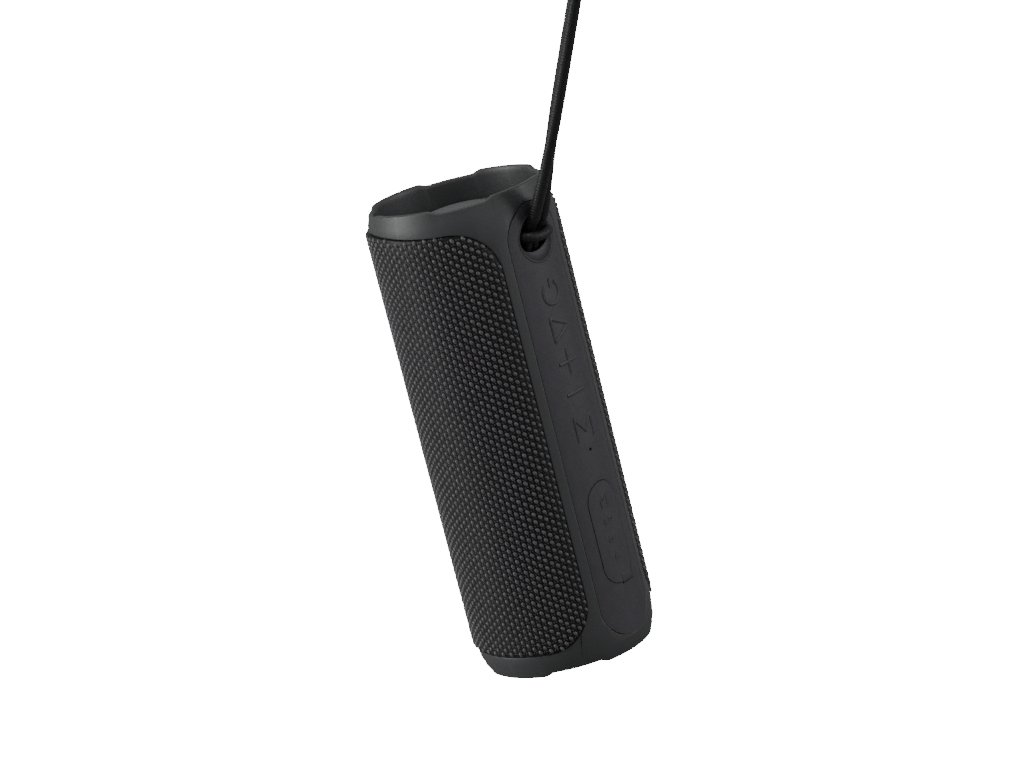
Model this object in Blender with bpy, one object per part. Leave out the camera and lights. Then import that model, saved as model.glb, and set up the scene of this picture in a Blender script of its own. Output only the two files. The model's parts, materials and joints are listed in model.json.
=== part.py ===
"""Hanging shower speaker: a fabric tube between two end rings, with a control spine at -Y.

The long axis is Z. The lower ring stands on z = 0, the control spine faces -Y and the driver faces +Y.
Azimuths are degrees about Z, measured from the spine (-Y) towards +X.
"""
import bpy
import bmesh
import math
from mathutils import Matrix, Vector

MM = 0.001
GAP = 0.3 * MM            # clearance between pieces that touch
STEP = 7.5                # degrees between the columns of a curved wall

# end rings and spine frame
LENGTH = 183.0 * MM       # over both rings
RING_R = 35.2 * MM        # ring and spine, outside
RIM_TAPER = 1.9 * MM      # the rings draw in towards their rims
RIM_R = RING_R - RIM_TAPER
RING_T = 4.2 * MM         # ring wall at its thickest
CUP_R = RING_R - RING_T   # inside wall of the end cups
WALL = 1.9 * MM           # spine wall between the rings
NOTCH_DEPTH = 1.3 * MM    # four shallow notches in each rim
NOTCH_FLAT = 15.0         # half width of a notch, degrees
NOTCH_RAMP = 7.5
SEAM = 0.45               # half the gap between front and rear ring halves, degrees
SHOULDER = 12.7 * MM      # depth of the ring's inner skirt

# fabric window
SPINE_HALF = 29.8         # half width of the spine, degrees
EDGE_LOW = 9.3 * MM       # fabric edge above the lower rim
EDGE_TOP_FRONT = 9.8 * MM # fabric edge below the upper rim, near the spine
EDGE_TOP_REAR = 7.0 * MM
CORNER_R = 18.0 * MM
FABRIC_PROUD = 0.8 * MM   # how far the fabric stands out from the rings
FABRIC_R = RING_R + FABRIC_PROUD
FABRIC_T = 0.9 * MM
GRILLE_T = 1.4 * MM
SLOT_W = 3.0 * MM         # sound slots in the grille
SLOT_H = 11.0 * MM

# inner housing
HOUSING_INSET = SHOULDER + GAP
HOUSING_R = RING_R - WALL - GAP
HOUSING_T = 2.0 * MM
BAY_WALL = 2.0 * MM
BAY_HALF = 11.0 * MM      # dry bay behind the control panel
BAY_DEPTH = 14.8 * MM     # from the ring's face to the bay's back
BAY_FLOOR = RING_R - BAY_DEPTH
BAY_LOW = 22.0 * MM
BAY_TOP = LENGTH - HOUSING_INSET - 1.3 * MM

# eyelet and lanyard
DISH_R = 9.4 * MM
DISH_Z = LENGTH - 20.3 * MM
DISH_DEEP = 3.0 * MM      # from the ring's face to the rim of the dish's back
PIN_Z = DISH_Z - 0.7 * MM
PIN_Y = -(RING_R - 7.2 * MM)
PIN_R = 1.3 * MM
CORD_D = 4.4 * MM
KNOT_SQUEEZE = 0.87       # the cord is pulled thin where it is knotted
LEAN = 28.0               # the hanging cord's angle from the speaker's axis, degrees

# control panel: keys are placed down from the eyelet
PANEL_HALF = 23.1         # degrees
PANEL_T = 1.6 * MM
PANEL_RECESS = 0.2 * MM   # below the spine's face
PANEL_R = RING_R - PANEL_RECESS
PANEL_INSET = 6.5 * MM    # panel ends from the rims
PANEL_LOW = PANEL_INSET
PANEL_TOP = LENGTH - PANEL_INSET
KEYS = {"power": DISH_Z - 21.2 * MM, "play": DISH_Z - 34.7 * MM, "plus": DISH_Z - 47.9 * MM,
        "minus": DISH_Z - 59.9 * MM, "mode": DISH_Z - 73.7 * MM}
KEY_RADII = {"power": 6.0 * MM, "play": 6.2 * MM, "plus": 5.5 * MM, "minus": 5.3 * MM, "mode": 7.0 * MM}
KEY_T = 1.4 * MM
MIC_Z = KEYS["mode"] - 8.8 * MM
MIC_HOLE_R = 0.6 * MM

# port flap and ports
FLAP_LOW = 27.2 * MM
FLAP_L = 40.2 * MM
FLAP_TOP = FLAP_LOW + FLAP_L
FLAP_HALF = 7.8 * MM
FLAP_T = 1.6 * MM
TAB_W = 6.2 * MM         # pull tab, to the right of the flap's middle
TAB_DROP = 0.7 * MM      # how far it reaches below the flap
TRAY_WALL = 1.3 * MM
TRAY_FLOOR = RING_R - 6.2 * MM    # distance of the tray's floor from the axis
TRAY_FLOOR_T = 1.6 * MM
PORT_BOARD_FACE = TRAY_FLOOR - 4.4 * MM
PORTS = {"card_slot": (FLAP_LOW + 32.3 * MM, 12.0 * MM, 2.0 * MM),
         "usb_a_socket": (FLAP_LOW + 24.4 * MM, 13.6 * MM, 6.2 * MM),
         "audio_jack": (FLAP_LOW + 17.0 * MM, 5.2 * MM, 5.2 * MM),
         "usb_c_socket": (FLAP_LOW + 10.0 * MM, 9.2 * MM, 3.4 * MM)}
PORT_MOUTHS = {"card_slot": (11.0 * MM, 1.0 * MM), "usb_a_socket": (12.5 * MM, 5.1 * MM),
               "audio_jack": (3.5 * MM, 3.5 * MM), "usb_c_socket": (8.3 * MM, 2.5 * MM)}

# passive radiators (depths below the rim)
RADIATOR_DISC_R = 13.5 * MM
RADIATOR_PLATE_R = 15.6 * MM
RADIATOR_DEPTH = 7.6 * MM
RADIATOR_FLANGE = 10.5 * MM
BASKET_W = 4.7 * MM

# full-range driver, facing +Y
DRIVER_Z = 120.0 * MM
DRIVER_FLANGE_R = 23.5 * MM
DRIVER_FLANGE_T = 1.0 * MM
DRIVER_OPEN_R = DRIVER_FLANGE_R - 2.5 * MM
DRIVER_SEAT_Y = math.sqrt(HOUSING_R ** 2 - DRIVER_FLANGE_R ** 2) - GAP - DRIVER_FLANGE_T + 0.1 * MM
MAGNET_R = 15.0 * MM
MAGNET_T = 14.5 * MM
COIL_R = 10.4 * MM
CONE_R = DRIVER_FLANGE_R - 7.9 * MM
CONE_TRAVEL = 2.0 * MM
SCREW_RING_R = DRIVER_FLANGE_R - 1.5 * MM
SCREW_HOLE_R = 1.1 * MM

# electronics
BOARD_T = 1.2 * MM
KEY_BOARD_FACE = RING_R - 4.2 * MM
MAIN_BOARD_FACE = KEY_BOARD_FACE - 6.0 * MM
CELL_R = 9.2 * MM
CELL_L = 65.0 * MM
CELL_LOW = 22.0 * MM
CELL_Y = -BAY_FLOOR + BAY_WALL + 3.7 * MM + CELL_R

SOFT_BLACK = (0.052, 0.054, 0.057)
PANEL_BLACK = (0.030, 0.029, 0.033)
DARK_PLASTIC = (0.02, 0.02, 0.022)
RUBBER = (0.035, 0.036, 0.038)
FABRIC = (0.045, 0.046, 0.048)
STEEL = (0.55, 0.55, 0.56)
NICKEL = (0.62, 0.60, 0.56)
BOARD_GREEN = (0.02, 0.11, 0.06)
CORD_BLACK = (0.02, 0.023, 0.022)
CELL_WRAP = (0.05, 0.16, 0.32)


def material(name, colour, roughness=0.6, metallic=0.0):
    made = bpy.data.materials.get(name) or bpy.data.materials.new(name)
    made.use_nodes = True
    shader = made.node_tree.nodes["Principled BSDF"]
    shader.inputs["Base Color"].default_value = (*colour, 1.0)
    shader.inputs["Roughness"].default_value = roughness
    shader.inputs["Metallic"].default_value = metallic
    made.diffuse_color = (*colour, 1.0)
    return made


def finish(name, bm, paint):
    """Turn a bmesh into a named object with outward faces, smooth across shallow angles."""
    bmesh.ops.remove_doubles(bm, verts=bm.verts, dist=1e-6)
    bmesh.ops.recalc_face_normals(bm, faces=bm.faces)
    mesh = bpy.data.meshes.new(name)
    bm.to_mesh(mesh)
    bm.free()
    mesh.shade_smooth()
    mesh.set_sharp_from_angle(angle=math.radians(35))
    made = bpy.data.objects.new(name, mesh)
    bpy.context.scene.collection.objects.link(made)
    if paint:
        mesh.materials.append(paint)
    return made


def at(azimuth, radius, z):
    angle = math.radians(azimuth)
    return Vector((radius * math.sin(angle), -radius * math.cos(angle), z))


def columns(first, last, offset=0.0):
    """Azimuths from first to last, with whole steps between them."""
    steps = [offset + STEP * i for i in range(int(first // STEP), int(last // STEP) + 2)]
    return [first] + [a for a in steps if first + 1.0 < a < last - 1.0] + [last]


def loft(name, azimuths, profile, paint=None, closed=False):
    """Sweep profile(azimuth), a closed loop of (radius, z), around Z."""
    bm = bmesh.new()
    loops = [[bm.verts.new(at(a, r, z)) for r, z in profile(a)] for a in azimuths]
    pairs = list(zip(loops, loops[1:]))
    if closed:
        pairs.append((loops[-1], loops[0]))
    for one, two in pairs:
        for i in range(len(one)):
            j = (i + 1) % len(one)
            bm.faces.new((one[i], one[j], two[j], two[i]))
    if not closed:
        bm.faces.new(loops[0])
        bm.faces.new(loops[-1])
    bm.normal_update()
    bmesh.ops.triangulate(bm, faces=bm.faces[:])
    return finish(name, bm, paint)


def turned(name, outline, paint=None, place=Matrix(), steps=32, phase=0.0):
    """Turn a closed outline of (radius, height) about its own Z, then place it."""
    bm = bmesh.new()
    loops = []
    for i in range(steps):
        angle = 2 * math.pi * (i + phase) / steps
        loops.append([bm.verts.new((r * math.cos(angle), r * math.sin(angle), h)) for r, h in outline])
    for one, two in zip(loops, loops[1:] + loops[:1]):
        for i in range(len(one)):
            j = (i + 1) % len(one)
            if outline[i][0] > 0 or outline[j][0] > 0:
                bm.faces.new((one[i], one[j], two[j], two[i]))
    bmesh.ops.remove_doubles(bm, verts=bm.verts, dist=1e-6)
    made = finish(name, bm, paint)
    made.matrix_world = place
    return made


def box(name, low, high, paint=None, bevel=0.0):
    bm = bmesh.new()
    bmesh.ops.create_cube(bm, size=1.0)
    centre = [(a + b) / 2 for a, b in zip(low, high)]
    for vert in bm.verts:
        vert.co = Vector([c + v * (b - a) for c, v, a, b in zip(centre, vert.co, low, high)])
    if bevel:
        bmesh.ops.bevel(bm, geom=bm.edges[:], offset=bevel, segments=2, affect="EDGES")
    return finish(name, bm, paint)


def along_y(name, outline, y_near, y_far, paint=None):
    """Extrude a closed outline of (x, z) from y_near to y_far."""
    bm = bmesh.new()
    near = [bm.verts.new((x, y_near, z)) for x, z in outline]
    far = [bm.verts.new((x, y_far, z)) for x, z in outline]
    bm.faces.new(near)
    bm.faces.new(far)
    for i in range(len(near)):
        j = (i + 1) % len(near)
        bm.faces.new((near[i], near[j], far[j], far[i]))
    return finish(name, bm, paint)


def ellipse(half_x, half_z, z, count=32):
    turns = [2 * math.pi * (i + 0.5) / count for i in range(count)]
    return [(half_x * math.cos(t), z + half_z * math.sin(t)) for t in turns]


def stadium(half_x, low, top, count=9):
    """Upright stadium outline of (x, z) with round ends."""
    upper = [(half_x * math.cos(t), top - half_x + half_x * math.sin(t))
             for t in (math.pi * i / count for i in range(count + 1))]
    lower = [(-x, low + top - z) for x, z in upper]
    return upper + lower


def modify(body, tool, operation):
    change = body.modifiers.new(tool.name, "BOOLEAN")
    change.operation = operation
    change.object = tool
    change.solver = "EXACT"
    tool.hide_render = True
    tool.display_type = "WIRE"


def cut(body, *tools):
    for tool in tools:
        modify(body, tool, "DIFFERENCE")


def unite(body, *tools):
    for tool in tools:
        modify(body, tool, "UNION")


def keep(body, tool):
    modify(body, tool, "INTERSECT")


def facing_y(y, z, x=0.0):
    """Placement that turns a turned piece's own Z to +Y."""
    return Matrix.Translation((x, y, z)) @ Matrix.Rotation(math.radians(-90), 4, "X")


def flipped(depth_outline, top):
    """Outline of (radius, depth below the rim) to (radius, z) for the upper or the lower end."""
    return [(r, LENGTH - d if top else d) for r, d in depth_outline]


# ---------------------------------------------------------------- outlines shared by several pieces
def notch(azimuth):
    """Depth of the rim at an azimuth: four notches between four raised stretches."""
    off = abs((azimuth + 360) % 90 - 45)
    share = min(1.0, max(0.0, (NOTCH_FLAT + NOTCH_RAMP - off) / NOTCH_RAMP))
    return NOTCH_DEPTH * share


def corner_rise(azimuth, inset):
    """How far the window's rounded corners rise above its straight edge."""
    along = (abs(azimuth) - SPINE_HALF) * math.radians(1) * FABRIC_R - inset
    radius = CORNER_R - inset
    reach = min(radius, max(0.0, radius - along))
    return radius - math.sqrt(radius ** 2 - reach ** 2)


def window_top(azimuth, inset=0.0):
    away = min(1.0, max(0.0, (abs(azimuth) - 55.0) / 75.0))
    ease = away * away * (3 - 2 * away)
    edge = EDGE_TOP_FRONT + (EDGE_TOP_REAR - EDGE_TOP_FRONT) * ease
    return LENGTH - edge - inset - corner_rise(azimuth, inset)


def window_low(azimuth, inset=0.0):
    return EDGE_LOW + inset + corner_rise(azimuth, inset)


def signed(azimuth):
    """Fold an azimuth of the window, which runs round the back, to -180..180."""
    return (azimuth + 180) % 360 - 180


def window_columns(inset=0.0):
    """Azimuths from one side of the spine round the back to the other, close together in the corners."""
    side = SPINE_HALF + math.degrees(inset / FABRIC_R)
    turn = math.degrees(CORNER_R / FABRIC_R)
    near = [side + turn * (1 - math.cos(math.radians(a))) for a in (0, 15, 30, 45, 60, 75)]
    near.append(side + turn)
    far = [360 - a for a in reversed(near)]
    return near[:-1] + columns(near[-1], far[0], STEP / 2) + far[1:]


def window_solid(name, inner, outer, inset, paint=None):
    def section(azimuth):
        fold = signed(azimuth)
        low, top = window_low(fold, inset), window_top(fold, inset)
        return [(inner, low), (outer, low), (outer, top), (inner, top)]
    return loft(name, window_columns(inset), section, paint)


def panel_solid(name, inner, outer, inset, paint=None):
    """A curved stadium following the spine."""
    half = PANEL_HALF - math.degrees(inset / RING_R)
    end = math.radians(half) * RING_R
    places = [half * math.sin(math.radians(a)) for a in range(-90, 91, 15)]

    def section(azimuth):
        side = min(end, abs(math.radians(azimuth) * RING_R))
        round_off = end - math.sqrt(end ** 2 - side ** 2)
        low, top = PANEL_LOW + inset + round_off, PANEL_TOP - inset - round_off
        return [(inner, low), (outer, low), (outer, top), (inner, top)]
    return loft(name, places, section, paint)


def shell(name, inner, outer, half=40.0):
    """A plain curved slab used to trim front pieces to the cylinder."""
    return loft(name, columns(-half, half, STEP / 2),
                lambda a: [(inner, -MM), (outer, -MM), (outer, LENGTH + MM), (inner, LENGTH + MM)])


def dish_room(name):
    """The room that the eyelet's dish takes in its neighbours."""
    return along_y(name, ellipse(DISH_R + GAP, DISH_R + GAP, DISH_Z), -RING_R - 5 * MM, -RING_R + DISH_DEEP)


# ---------------------------------------------------------------- frame and rings
def rim_outline(azimuth):
    """Ring section from the outside over the rim to the inside, as (radius, depth)."""
    low = notch(azimuth)
    return [(RING_R, EDGE_LOW + 1.5 * MM), (RIM_R, low + 1.3 * MM), (RIM_R - 0.4 * MM, low + 0.4 * MM),
            (RIM_R - 0.8 * MM, low), (RIM_R - 1.5 * MM, low), (CUP_R + 0.3 * MM, low + 1.1 * MM)]


def spine_frame(paint):
    """Spine and the front halves of both rings, one moulding."""
    inside = RING_R - WALL

    def section(azimuth):
        upper = [(r, LENGTH - d) for r, d in rim_outline(azimuth)]
        lower = [(r, d) for r, d in rim_outline(azimuth)]
        top = LENGTH - SHOULDER
        inner = [(CUP_R, top), (inside, top), (inside, SHOULDER), (CUP_R, SHOULDER)]
        return upper + inner + list(reversed(lower))
    frame = loft("spine_frame", columns(-90 + SEAM, 90 - SEAM), section, paint)
    cut(frame, window_solid("window_cutter", inside - 0.1 * MM, FABRIC_R + 4 * MM, 0.0))
    cut(frame, panel_solid("panel_cutter", inside - 0.2 * MM, FABRIC_R + 4 * MM, 0.0))
    cut(frame, dish_room("dish_cutter"))
    return frame


def rear_ring(name, top, paint):
    """Rear half of one end ring, with the inner skirt that the grille laps over."""
    skirt = RING_R - WALL - 0.1 * MM

    def section(azimuth):
        fold = signed(azimuth)
        edge = LENGTH - window_top(fold) if top else window_low(fold)
        rim = rim_outline(azimuth)
        share = (edge - rim[1][1]) / (rim[0][1] - rim[1][1])
        start = (rim[1][0] + (rim[0][0] - rim[1][0]) * share, edge)
        outline = [(skirt, edge), start] + rim[1:] + [(CUP_R, SHOULDER), (skirt, SHOULDER)]
        return flipped(outline, top)
    return loft(name, columns(90 + SEAM, 270 - SEAM), section, paint)


def grille(paint):
    inner = RING_R - WALL + 0.1 * MM
    body = window_solid("grille_shell", inner, inner + GRILLE_T, GAP, paint)
    for row, z in enumerate(DRIVER_Z + k * 15 * MM for k in (-1, 0, 1)):
        for column, x in enumerate(k * 7.5 * MM for k in (-2, -1, 0, 1, 2)):
            slot = box(f"slot_cutter_{row}_{column}", (x - SLOT_W / 2, RING_R / 2, z - SLOT_H / 2),
                       (x + SLOT_W / 2, 2 * RING_R, z + SLOT_H / 2))
            cut(body, slot)
    return body


# ---------------------------------------------------------------- inner housing
def inner_housing(paint):
    """Sealed tube with a dry bay at the front and a driver seat at the back."""
    outer, inner = HOUSING_R, HOUSING_R - HOUSING_T
    low, top = HOUSING_INSET, LENGTH - HOUSING_INSET
    body = turned("inner_housing", [(outer, low), (outer, top), (0, top), (0, low)], paint, steps=48)
    cavity = turned("cavity_cutter", [(inner, low - 5 * MM), (inner, top + 5 * MM), (0, top + 5 * MM),
                                      (0, low - 5 * MM)], steps=48, phase=0.5)
    wall = BAY_WALL
    bay_block = box("bay_block", (-BAY_HALF - wall, -2 * RING_R, BAY_LOW - wall),
                    (BAY_HALF + wall, -BAY_FLOOR + wall, top + 10 * MM))
    seat = DRIVER_FLANGE_R + 0.7 * MM
    seat_block = box("seat_block", (-seat - wall, DRIVER_SEAT_Y - 5 * MM, DRIVER_Z - seat - wall),
                     (seat + wall, 2 * RING_R, DRIVER_Z + seat + wall))
    cut(cavity, bay_block, seat_block)
    bay = box("bay_cutter", (-BAY_HALF, -2 * RING_R, BAY_LOW), (BAY_HALF, -BAY_FLOOR, BAY_TOP))
    pocket = box("pocket_cutter", (-seat, DRIVER_SEAT_Y, DRIVER_Z - seat),
                 (seat, 2 * RING_R, DRIVER_Z + seat))
    mouth = turned("mouth_cutter", [(DRIVER_OPEN_R, -20 * MM), (DRIVER_OPEN_R, 20 * MM), (0, 20 * MM),
                                    (0, -20 * MM)], place=facing_y(DRIVER_SEAT_Y, DRIVER_Z), steps=40)
    cut(body, cavity, bay, pocket, mouth, dish_room("housing_dish_cutter"))
    for index, (x, z) in enumerate(driver_screw_places()):
        cut(body, screw_hole(f"seat_hole_{index}", DRIVER_SEAT_Y, z, x))
    return body


def screw_hole(name, y, z, x):
    outline = [(SCREW_HOLE_R, -4 * MM), (SCREW_HOLE_R, 4 * MM), (0, 4 * MM), (0, -4 * MM)]
    return turned(name, outline, place=facing_y(y, z, x), steps=10)


# ---------------------------------------------------------------- passive radiators
def radiator(side, top, rubber, steel, plastic):
    thick, dip = 0.5 * MM, 1.4 * MM
    seat, edge = RADIATOR_FLANGE + thick + GAP, CUP_R - GAP
    basket = [(edge - BASKET_W, seat), (edge, seat), (edge, SHOULDER), (edge - BASKET_W, SHOULDER)]
    turned(f"radiator_basket_{side}", flipped(basket, top), plastic)

    inner, outer, flange = RADIATOR_PLATE_R + GAP, edge - BASKET_W - 0.4 * MM, RADIATOR_FLANGE
    turns = [i / 5 for i in range(6)]
    face = [(outer + (inner - outer) * t, flange + dip * math.sin(math.pi * t)) for t in turns]
    back = [(r, d + thick) for r, d in reversed(face)]
    hem = edge - 1.1 * MM
    outline = [(hem, flange)] + face + back + [(hem, flange + thick)]
    turned(f"radiator_surround_{side}", flipped(outline, top), rubber)

    plate = [(0, RADIATOR_DEPTH), (RADIATOR_DISC_R, RADIATOR_DEPTH),
             (RADIATOR_DISC_R + 0.5 * MM, RADIATOR_DEPTH + 0.5 * MM),
             (RADIATOR_PLATE_R - 0.4 * MM, RADIATOR_FLANGE - 0.8 * MM), (RADIATOR_PLATE_R, RADIATOR_FLANGE),
             (RADIATOR_PLATE_R, RADIATOR_FLANGE + 1.2 * MM), (11 * MM, RADIATOR_FLANGE + 1.2 * MM),
             (11 * MM, RADIATOR_FLANGE + 3.4 * MM), (0, RADIATOR_FLANGE + 3.4 * MM)]
    turned(f"radiator_plate_{side}", flipped(plate, top), steel)


# ---------------------------------------------------------------- driver
def driver_screw_places():
    half = SCREW_RING_R * math.sqrt(0.5)
    return [(x, DRIVER_Z + z) for x in (-half, half) for z in (-half, half)]


def driver(steel, rubber):
    """Basket, magnet, surround and moving cone; heights are distances along +Y from the axis."""
    place = facing_y(0.0, DRIVER_Z)
    seat = DRIVER_SEAT_Y + GAP
    lip = seat + DRIVER_FLANGE_T
    rim = DRIVER_OPEN_R - 0.4 * MM
    plate = seat - 15.5 * MM
    inside = DRIVER_FLANGE_R - 5.0 * MM
    basket = turned("driver_basket", [
        (DRIVER_FLANGE_R, seat), (DRIVER_FLANGE_R, lip), (inside, lip), (inside, seat),
        (COIL_R + 1.4 * MM, plate + 1.2 * MM), (COIL_R + 1.4 * MM, plate), (MAGNET_R, plate),
        (rim, seat - 2.0 * MM), (rim, seat)], steel, place)
    for index, (x, z) in enumerate(driver_screw_places()):
        cut(basket, screw_hole(f"flange_hole_{index}", seat, z, x))
        head = lip + GAP
        turned(f"driver_screw_{index + 1}", [
            (0, seat - 4 * MM), (0.8 * MM, seat - 4 * MM), (0.8 * MM, head), (1.6 * MM, head),
            (1.6 * MM, head + 0.8 * MM), (0, head + 0.8 * MM)], steel, facing_y(0.0, z, x), 12)
    face, back = plate - GAP, plate - GAP - MAGNET_T
    floor, pole = face - 9.0 * MM, COIL_R - 1.0 * MM
    turned("driver_magnet", [
        (0, back), (MAGNET_R, back), (MAGNET_R, face), (COIL_R + 0.6 * MM, face),
        (COIL_R + 0.6 * MM, floor),
        (pole, floor), (pole, face), (0, face)], steel, place)
    neck = face + 2.5 * MM
    coil = COIL_R - 0.6 * MM
    turned("driver_cone", [
        (0, neck + 4.2 * MM), (5.0 * MM, neck + 3.5 * MM), (9.0 * MM, neck + 1.4 * MM),
        (COIL_R - 0.2 * MM, neck + 0.6 * MM), (CONE_R - 0.5 * MM, lip - 2.4 * MM), (CONE_R, lip - 2.2 * MM),
        (CONE_R, lip - 2.9 * MM), (COIL_R, neck - 0.1 * MM), (COIL_R, floor + CONE_TRAVEL + MM),
        (coil, floor + CONE_TRAVEL + MM), (coil, neck), (5.0 * MM, neck + 2.7 * MM), (0, neck + 3.4 * MM)],
        rubber, place)
    inner, outer, base, thick, rise = CONE_R + GAP, inside + 0.4 * MM, lip + GAP, 0.4 * MM, 1.7 * MM
    turns = [i / 5 for i in range(6)]
    face = [(outer + (inner - outer) * t, base + thick + rise * math.sin(math.pi * t)) for t in turns]
    back = [(r, h - thick) for r, h in reversed(face)]
    hem = SCREW_RING_R - 2.0 * MM
    turned("driver_surround", [(hem, base + thick)] + face + back + [(hem, base)], rubber, place)


# ---------------------------------------------------------------- control panel, keys and boards
def key_disc(name, z, key_r, paint):
    """Round key whose faces follow the cylinder."""
    outer = PANEL_R
    bm = bmesh.new()
    sides = 24
    faces = []
    for radius in (outer, outer - KEY_T):
        centre = bm.verts.new((0, -radius, z))
        rings = []
        for reach in (key_r / 2, key_r):
            ring = []
            for i in range(sides):
                t = 2 * math.pi * i / sides
                x = reach * math.cos(t)
                ring.append(bm.verts.new((x, -math.sqrt(radius ** 2 - x ** 2), z + reach * math.sin(t))))
            rings.append(ring)
        for i in range(sides):
            j = (i + 1) % sides
            bm.faces.new((centre, rings[0][i], rings[0][j]))
            bm.faces.new((rings[0][i], rings[1][i], rings[1][j], rings[0][j]))
        faces.append(rings[1])
    for i in range(sides):
        j = (i + 1) % sides
        bm.faces.new((faces[0][i], faces[0][j], faces[1][j], faces[1][i]))
    return finish(name, bm, paint)


def control_panel(paint):
    outer = PANEL_R
    body = panel_solid("control_panel", outer - PANEL_T, outer, GAP, paint)
    for name, z in KEYS.items():
        reach = KEY_RADII[name] + GAP
        cut(body, along_y(f"{name}_cutter", ellipse(reach, reach, z, 24), -2 * RING_R, -RING_R / 2))
    cut(body, along_y("mic_cutter", ellipse(MIC_HOLE_R, MIC_HOLE_R, MIC_Z, 12), -2 * RING_R, -RING_R / 2))
    cut(body, along_y("eyelet_cutter", ellipse(DISH_R + GAP, DISH_R + GAP, DISH_Z), -2 * RING_R, -RING_R / 2))
    flap = stadium(FLAP_HALF + GAP, FLAP_LOW - GAP, FLAP_TOP + GAP)
    cut(body, along_y("flap_cutter", flap, -2 * RING_R, -RING_R / 2))
    cut(body, pull_tab("tab_cutter", GAP))
    return body


def pull_tab(name, clearance):
    """Small lip at the flap's foot, or the room for it in the panel."""
    return box(name, (-clearance, -2 * RING_R, FLAP_LOW - TAB_DROP - clearance),
               (TAB_W + clearance, -RING_R / 2, FLAP_LOW + TAB_W / 2 + clearance))


def port_flap(paint):
    """Rubber flap, flush with the panel, with a pull tab and a plug that fills the tray's mouth."""
    outer = PANEL_R
    body = along_y("port_flap", stadium(FLAP_HALF, FLAP_LOW, FLAP_TOP), -2 * RING_R, -RING_R / 2, paint)
    unite(body, pull_tab("flap_tab", 0.0))
    keep(body, shell("flap_trim", outer - FLAP_T, outer))
    half = FLAP_HALF - 2.4 * MM
    plug = along_y("flap_plug", stadium(half, FLAP_LOW + 3.4 * MM, FLAP_TOP - 4.4 * MM), -outer + 0.8 * MM,
                   -outer + 2.9 * MM)
    unite(body, plug)
    return body


def port_tray(paint):
    outer = RING_R - WALL - 0.2 * MM
    half = FLAP_HALF + TRAY_WALL
    body = box("port_tray", (-half, -2 * RING_R, FLAP_LOW - TRAY_WALL),
               (half, -TRAY_FLOOR + TRAY_FLOOR_T, FLAP_TOP + TRAY_WALL), paint)
    keep(body, shell("tray_trim", 10 * MM, outer))
    cut(body, along_y("tray_cutter", stadium(FLAP_HALF - 1.0 * MM, FLAP_LOW + 1.2 * MM, FLAP_TOP - 2.0 * MM),
                      -2 * RING_R, -TRAY_FLOOR))
    for name, (z, width, height) in PORTS.items():
        cut(body, box(f"{name}_window", (-width / 2 - GAP, -RING_R, z - height / 2 - GAP),
                      (width / 2 + GAP, -BAY_FLOOR, z + height / 2 + GAP)))
    return body


def socket(name, paint):
    """Socket shell standing on the port board, open towards -Y."""
    z, width, height = PORTS[name]
    mouth_w, mouth_h = PORT_MOUTHS[name]
    back, front = -PORT_BOARD_FACE - GAP, -TRAY_FLOOR - 0.4 * MM
    if name == "audio_jack":
        length = back - front
        outer, bore, floor = width / 2, mouth_w / 2, 1.2 * MM
        outline = [(outer, 0), (outer, length), (bore, length), (bore, floor), (0, floor), (0, 0)]
        return turned(name, outline, paint,
                      Matrix.Translation((0, back, z)) @ Matrix.Rotation(math.radians(90), 4, "X"), 20)
    body = box(name, (-width / 2, front, z - height / 2), (width / 2, back, z + height / 2), paint)
    cut(body, box(f"{name}_mouth", (-mouth_w / 2, front - MM, z - mouth_h / 2),
                  (mouth_w / 2, back - 1.0 * MM, z + mouth_h / 2)))
    if name == "usb_a_socket":
        unite(body, box("usb_tongue", (-4.6 * MM, front + 0.8 * MM, z + 0.3 * MM),
                        (4.6 * MM, back - 0.5 * MM, z + 1.9 * MM)))
    return body


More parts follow.
